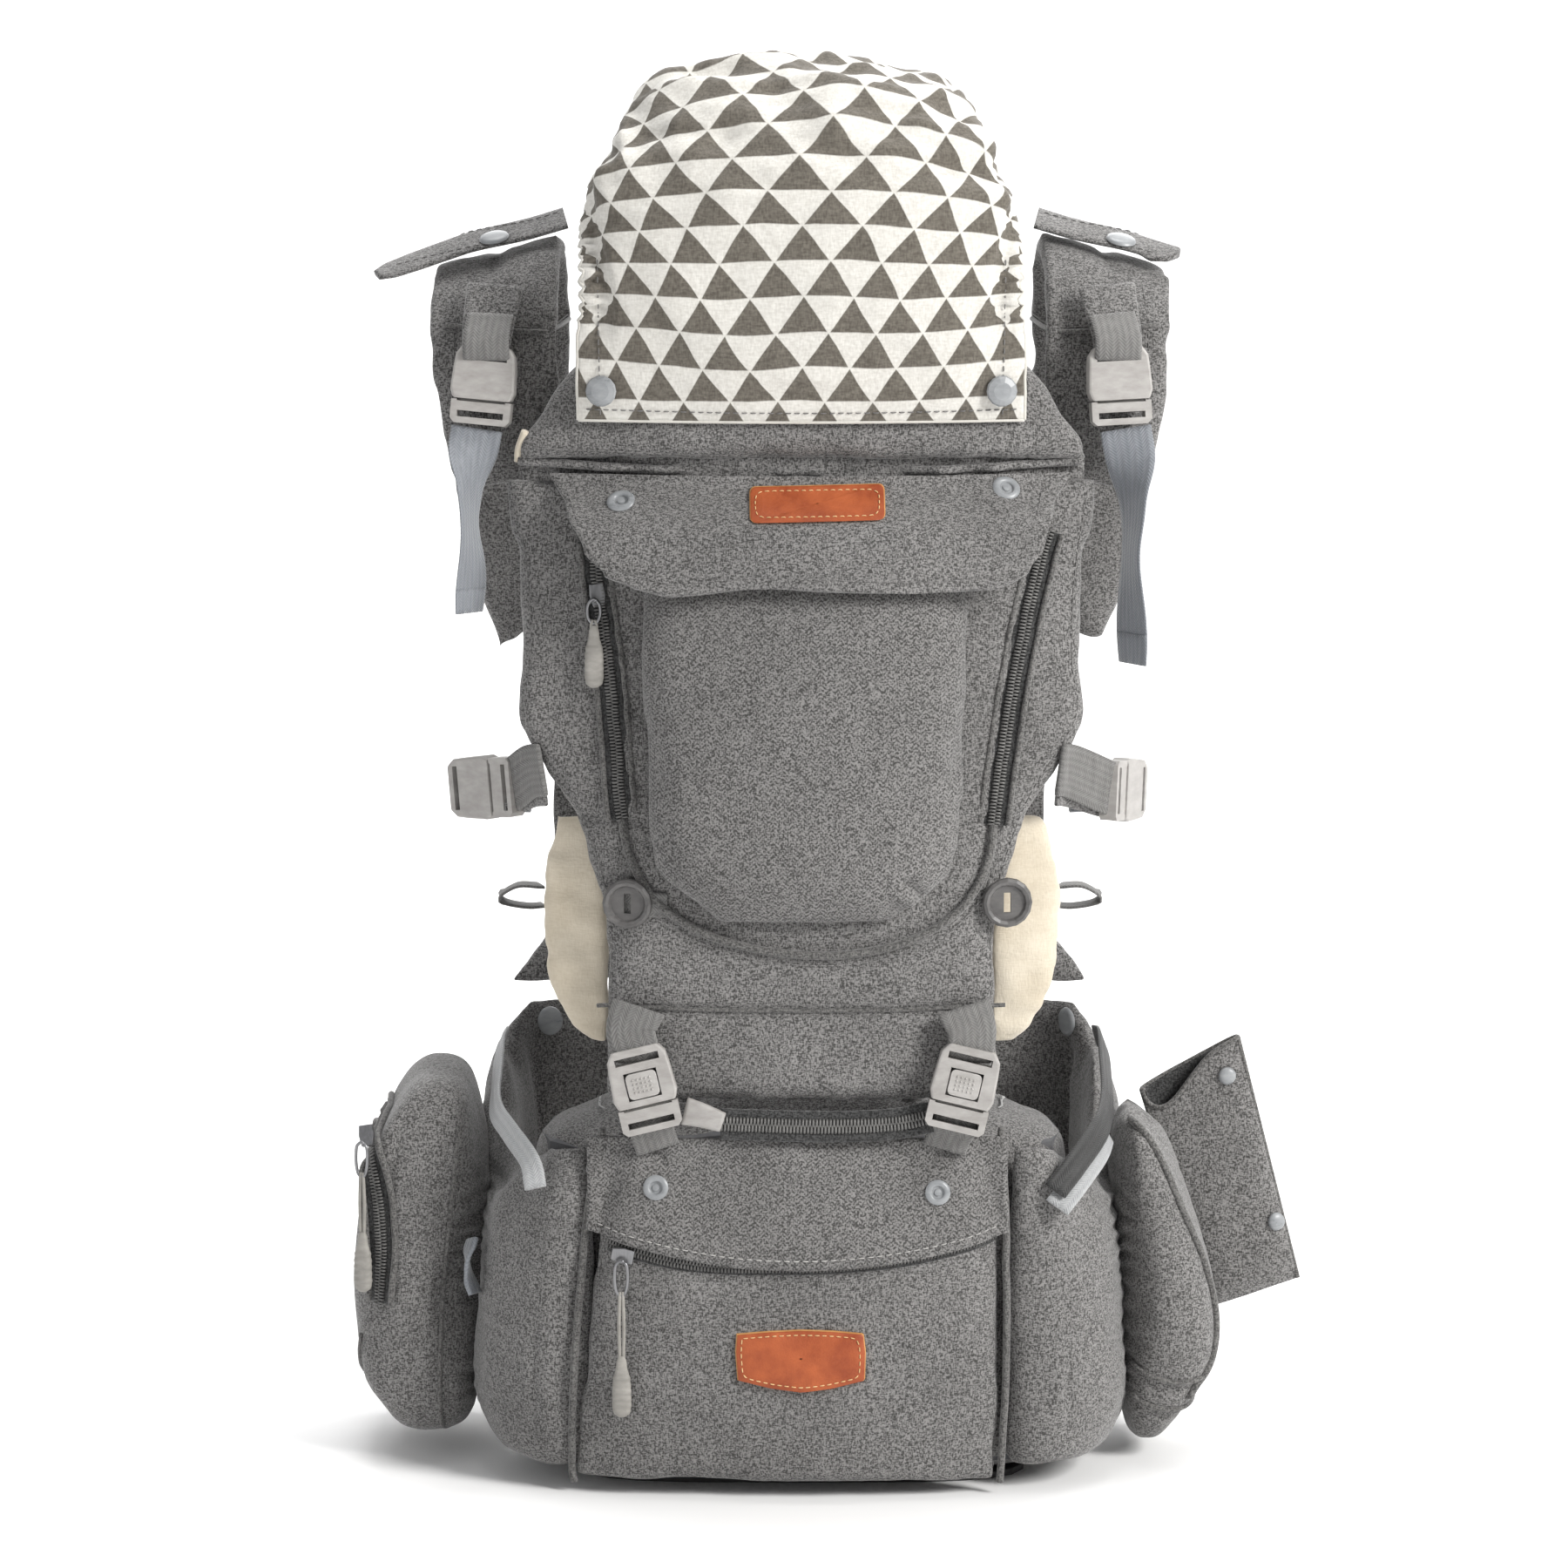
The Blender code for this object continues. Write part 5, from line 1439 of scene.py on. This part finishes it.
for name, knots in (("left", [(-90.5, 168), (-95, 140), (-98.5, 110), (-102, 70), (-104, 30), (-104, 6)]),
                    ("right", [(90.5, 168), (92.5, 130), (93, 90), (92.5, 50), (91, 20), (90.5, 6)])):
    piping(f"front_piping_{name}", on_pocket, [(x * 0.985, z) for x, z in knots], 1.7, "carrier", SEAM,
           sink=0.35)
stitches("front_stitches", [on_pocket.trace([(-86.5, 160), (-91, 138), (-95, 108), (-98, 70), (-99.5, 12)],
                                            0.1),
                            on_pocket.trace([(86.5, 160), (88.5, 130), (88.5, 90), (88, 50), (86.5, 12)],
                                            0.1)],
         THREAD, "carrier", 2.4, 1.6, 0.28)

# seat zip under the panel
line = smooth_line([(-36, -97.5, 172), (10, -98.4, 171), (40, -98, 172), (58, -97, 175)], 50)
n = np.tile([0, -0.97, 0.24], (len(line), 1))
# near-black tape: painted shade under the panel's edge
tape("seat_tape", line, n, 14, "carrier", SHADE_CLOTH)
zip_teeth("seat_coil", line + n * 0.8, n, 6.0, "carrier", 1.5, 0.6)
line = smooth_line([(-52, -97.5, 178), (-44, -98.5, 176), (-35, -98.8, 173)], 12)
strap("zip_garage", line, (0.2, 0, 1), np.linspace(13, 9, 12), 4.5, PLASTIC, "carrier", 14, 4.0)


# ---------------------------------------------------------------- pulls

def zip_pull(name, top, length, body, node, face=(0, -1, 0), tab=28.0, lean=0.0):
    """Metal link, cord loop and ribbed rubber tab, hanging from the slider."""
    top = np.array(top, float)
    face = np.array(face, float)
    face /= np.linalg.norm(face)
    down = np.array([lean, 0.0, -1.0])
    down /= np.linalg.norm(down)
    side = np.cross(down, face)
    side /= np.linalg.norm(side)
    link_end = min(13.0, length - tab - 2)
    loop = [top + side * a * 2.6 + down * b for a, b in
            ((-0.5, -1), (-1, 1), (-1.1, link_end * 0.6), (-0.7, link_end), (0, link_end + 1.2),
             (0.7, link_end),
             (1.1, link_end * 0.6), (1, 1), (0.5, -1), (0, -1.8), (-0.5, -1))]
    link = tube(f"{name}_link", smooth_line(loop, 36), 0.75, METAL, body, 8)
    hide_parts(node)
    start = top + down * (link_end - 0.5)
    end = top + down * (length - tab + 3)
    for k, sign in enumerate((-1, 1)):
        cord = smooth_line([start + side * sign * 0.6, (start + end) / 2 + side * sign * 1.1,
                            end + side * sign * 0.7], 12)
        tube(f"{name}_cord_{k}", cord, 0.85, RUBBER, body, 7)
    count = 60
    share = np.linspace(0, 1, count)
    line = top + down * (length - tab) + down * (share * tab)[:, None]
    half = np.interp(share, (0, 0.08, 0.22, 0.35, 0.5, 0.85, 0.95, 1),
                     (1.3, 2.2, 2.6, 3.8, 4.2, 4.3, 3.6, 1.6))
    ribs = 0.22 * np.sin(share * 2 * np.pi * 9) * ((share > 0.3) & (share < 0.92))
    points, faces, _ = swept(line, side, half + ribs * 0.4, half * 0.45 + 0.5 + ribs, 2.6, 16)
    face_out(add_mesh(f"{name}_tab", points, faces, RUBBER, body), False)


def top_of(node):
    low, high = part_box(node)
    low, high = millimetres(low), millimetres(high)
    return np.array([(low[0] + high[0]) / 2, (low[1] + high[1]) / 2, high[2]]), high[2] - low[2]


for name in ("front", "chest", "pouch"):
    at, tall = top_of(f"{name}_zip_pull")
    face = (-0.4, -1, 0) if name == "pouch" else (0, -1, 0)
    zip_pull(f"{name}_pull", at, tall, f"{name}_pull", f"{name}_zip_pull", face)

# ---------------------------------------------------------------- pouch, pod, phone pouch

POUCH_MIDDLE = np.array([-179.5, 6, 95.5])
on_pouch = Surface(PIECE["pouch_body"])


def over_pouch(angle):
    t = math.radians(angle)
    return POUCH_MIDDLE + (-14.0, math.cos(t) * 60, math.sin(t) * 60)


knots = [over_pouch(a) for a in (20, 40, 60, 80, 100, 115, 125, 132, 150, 165, 180, 200)]
line, n = on_pouch.trace(knots, 0.8, 2.0, toward=POUCH_MIDDLE)
# near-black tape: painted shade in the zip's groove
tape("pouch_tape", line, n, 13, "carrier", SHADE_CLOTH)
coil = zip_teeth("pouch_coil", line + n * 0.9, n, 5.2, "carrier")
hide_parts("pouch_zip_chain")
for k, shift in enumerate((-6.8, 6.8)):
    edge, _ = seam_line(line, n, shift)
    tube(f"pouch_fold_{k}", edge + n * 0.3, 1.5, SEAM, "carrier", 7)
for k, knots in enumerate(([(-168, -60, 6), (-166, -60, 80), (-160, -60, 140), (-157, -56, 178)],
                           [(-204, -30, 14), (-206, -44, 40), (-203, -50, 60)])):
    line, n = on_pouch.trace(knots, 0.3, 2.2, toward=lambda p: (p[0] + 6, 6, p[2]))
    tube(f"pouch_seam_{k}", line + n * 0.3, 1.1, SEAM, "carrier", 7)
    stitches(f"pouch_stitches_{k}", [seam_line(line, n, 3.4)], THREAD, "carrier", 2.4, 1.6, 0.28)

on_pod = Surface(PIECE["pod_body"])
for k, knots in enumerate(([(148, -40, 168), (160, -40, 150), (174, -44, 120), (188, -44, 92), (192, -40, 70),
                            (188, -40, 50), (176, -40, 34)],
                           [(150, -60, 42), (170, -58, 38), (188, -40, 42), (194, -20, 44)],
                           [(150, -58, 26), (168, -54, 23), (182, -40, 25), (190, -20, 26)])):
    line, n = on_pod.trace(knots, 0.4, 2.2, toward=lambda p: (160, -4, p[2] * 0.6 + 36))
    tube(f"pod_piping_{k}", line + n * 0.4, 1.8 if k == 0 else 1.2, SEAM, "carrier", 8)


def phone_bag():
    corners = ((192, 60), (233, 74), (203.5, 189), (159, 164))
    foot, far_foot, far_top, top = (np.array(c, float) for c in corners)
    ring, rows = 64, 40
    points = []
    for j in range(rows):
        b = j / (rows - 1)
        for i in range(ring):
            a = 2 * math.pi * i / ring
            c, d = math.cos(a), math.sin(a)
            share = 0.5 + 0.5 * math.copysign(abs(c) ** 0.55, c)
            out = math.copysign(abs(d) ** 0.8, d)
            front = d < 0
            up = b
            if front:
                up = b * (1 - 0.13 * step(1 - share, 0.2, 0.95) * abs(out))
            at = (foot + (far_foot - foot) * share) * (1 - up) + (top + (far_top - top) * share) * up
            taper = step(b, 0, 0.08) * 0.85 + 0.15
            belly = 6.2 * (0.35 + 0.65 * math.sin(math.pi * min(1, 0.15 + b)) ** 0.6) * taper
            y = 13.5 + out * (belly if front else 5.5 * taper)
            points.append((at[0], y, at[1]))
    points = np.array(points)
    points[:, 1] += 0.8 * fractal(points, 24, (1, 0.3, 1), 2, 12)
    faces = grid_faces(ring, rows, closed=True)
    faces.append(tuple(range(ring))[::-1])
    obj = face_out(add_mesh("phone_bag", points, faces, GREY), False)
    # the inside of the bag gets the near-black cloth: painted shade inside the pouch
    obj.data.materials.append(SHADE_CLOTH)
    thickened(obj, 0.0018, offset=-1, material_offset=1, material_offset_rim=0)
    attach(obj, "phone_pouch")
    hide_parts("phone_pouch")
    rim = points[(rows - 1) * ring:]
    tube("phone_rim", np.vstack([rim, rim[:1]]), 1.1, SEAM, "phone_pouch", 7)
    side_line = points.reshape(rows, ring, 3)
    tube("phone_seam_far", side_line[:, 0], 1.2, SEAM, "phone_pouch", 7)
    tube("phone_seam_near", side_line[:, ring // 2], 1.2, SEAM, "phone_pouch", 7)
    return obj


PHONE = phone_bag()
on_phone = Surface(PHONE)
for k, (x, z) in enumerate(((198.5, 171), (222, 102))):
    place, n = on_phone.hit((x, -60, z), (0, 1, 0))
    if place is not None:
        stud(f"phone_snap_{k}", place, n, "phone_pouch", [(r * 0.62, h) for r, h in CAP], SNAPS, 20)

# ---------------------------------------------------------------- belt straps and the back

belt_back = 107 + 6.5 + 0.6  # the wings' middle, half their thickness and a gap
for side, name in ((-1, "left"), (1, "right")):
    line = smooth_line([(side * 118, belt_back + 2.8, 130), (side * 96, belt_back + 1.2, 130),
                        (side * 60, belt_back + 1.2, 130),
                        (side * 5, belt_back + 1.2, 130)], 50)
    obj = strap(f"waist_webbing_{name}", line, (0, 0, 1), 38.0, 1.6, WEBBING, "carrier")
    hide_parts(f"belt_webbing_{name}")
    line = smooth_line([(side * 128, 94.6, 470), (side * 90, 94.8, 470), (side * 30, 94.6, 470)], 40)
    obj = strap(f"chest_webbing_{name}", line, (0, 0, 1), 20.0, 1.6, WEBBING, "chest_strap")
    clip = smooth_line([(side * 32, 94.6, 470), (side * 20, 94.6, 470), (side * 0.8, 94.6, 470)], 20)
    width = np.interp(np.linspace(0, 1, 20), (0, 0.2, 0.7, 1), (20, 26, 27, 24))
    strap(f"chest_clip_{name}", clip, (0, 0, 1), width, 7.6, PLASTIC, "chest_strap", 20, 5.0)
    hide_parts(f"chest_strap_{name}")

left_web = smooth_line([(-140, 60, 180), (-141, 36, 180), (-141, 6, 172), (-140, -28, 164), (-132, -60, 160),
                        (-122, -84, 152), (-119, -94, 142)], 50)
strap("left_belt_webbing", left_web, (0.3, 0.6, 0.8), 10.0, 1.8, PALE_WEBBING, "carrier")
right_web = smooth_line([(140, 60, 180), (142, 40, 182), (142, 12, 174), (141, -20, 165), (136, -54, 160),
                         (124, -80, 150), (114, -92, 140)], 50)
strap("right_belt_webbing", right_web, (-0.3, 0.6, 0.8), 11.0, 1.8, BLACK_WEBBING, "carrier")
strap("right_pale_webbing", right_web[30:] + np.array([0.8, -1.6, -7.0]), (-0.3, 0.6, 0.8), 12.0, 1.4,
      PALE_WEBBING,
      "carrier")
strap("left_knot_webbing", smooth_line([(-150, -50, 108), (-152, -54, 100), (-151.5, -55, 92),
                                        (-148.5, -57, 84)], 16),
      (0, 0.8, 0.6), 11, 2.4, WEBBING, "carrier")

for k, (x, y, z) in enumerate(((-120, 99, 181), (128, 96, 182))):
    surface = Surface(PIECE["belt_padding_left" if k == 0 else "belt_padding_right"])
    place, n = surface.hit((x, -10, z), (0, 1, 0))
    if place is not None:
        stud(f"belt_snap_{k}", place, n, "carrier", CAP, SNAPS)

back = Surface(PIECE["yoke_padding"])
lines = []
for knots in ([(-128, 150, 336), (0, 150, 305), (128, 150, 336)],
              [(-128, 150, 330), (0, 150, 299), (128, 150, 330)],
              [(-3, 150, 200), (-3, 150, 380)], [(3, 150, 200), (3, 150, 380)]):
    line, n = back.trace(knots, 0.1, 2.2, toward=lambda p: (p[0], 60, p[2]))
    lines.append((line, n))
stitches("yoke_back_stitches", lines, THREAD, "carrier", 2.6, 1.7, 0.32)
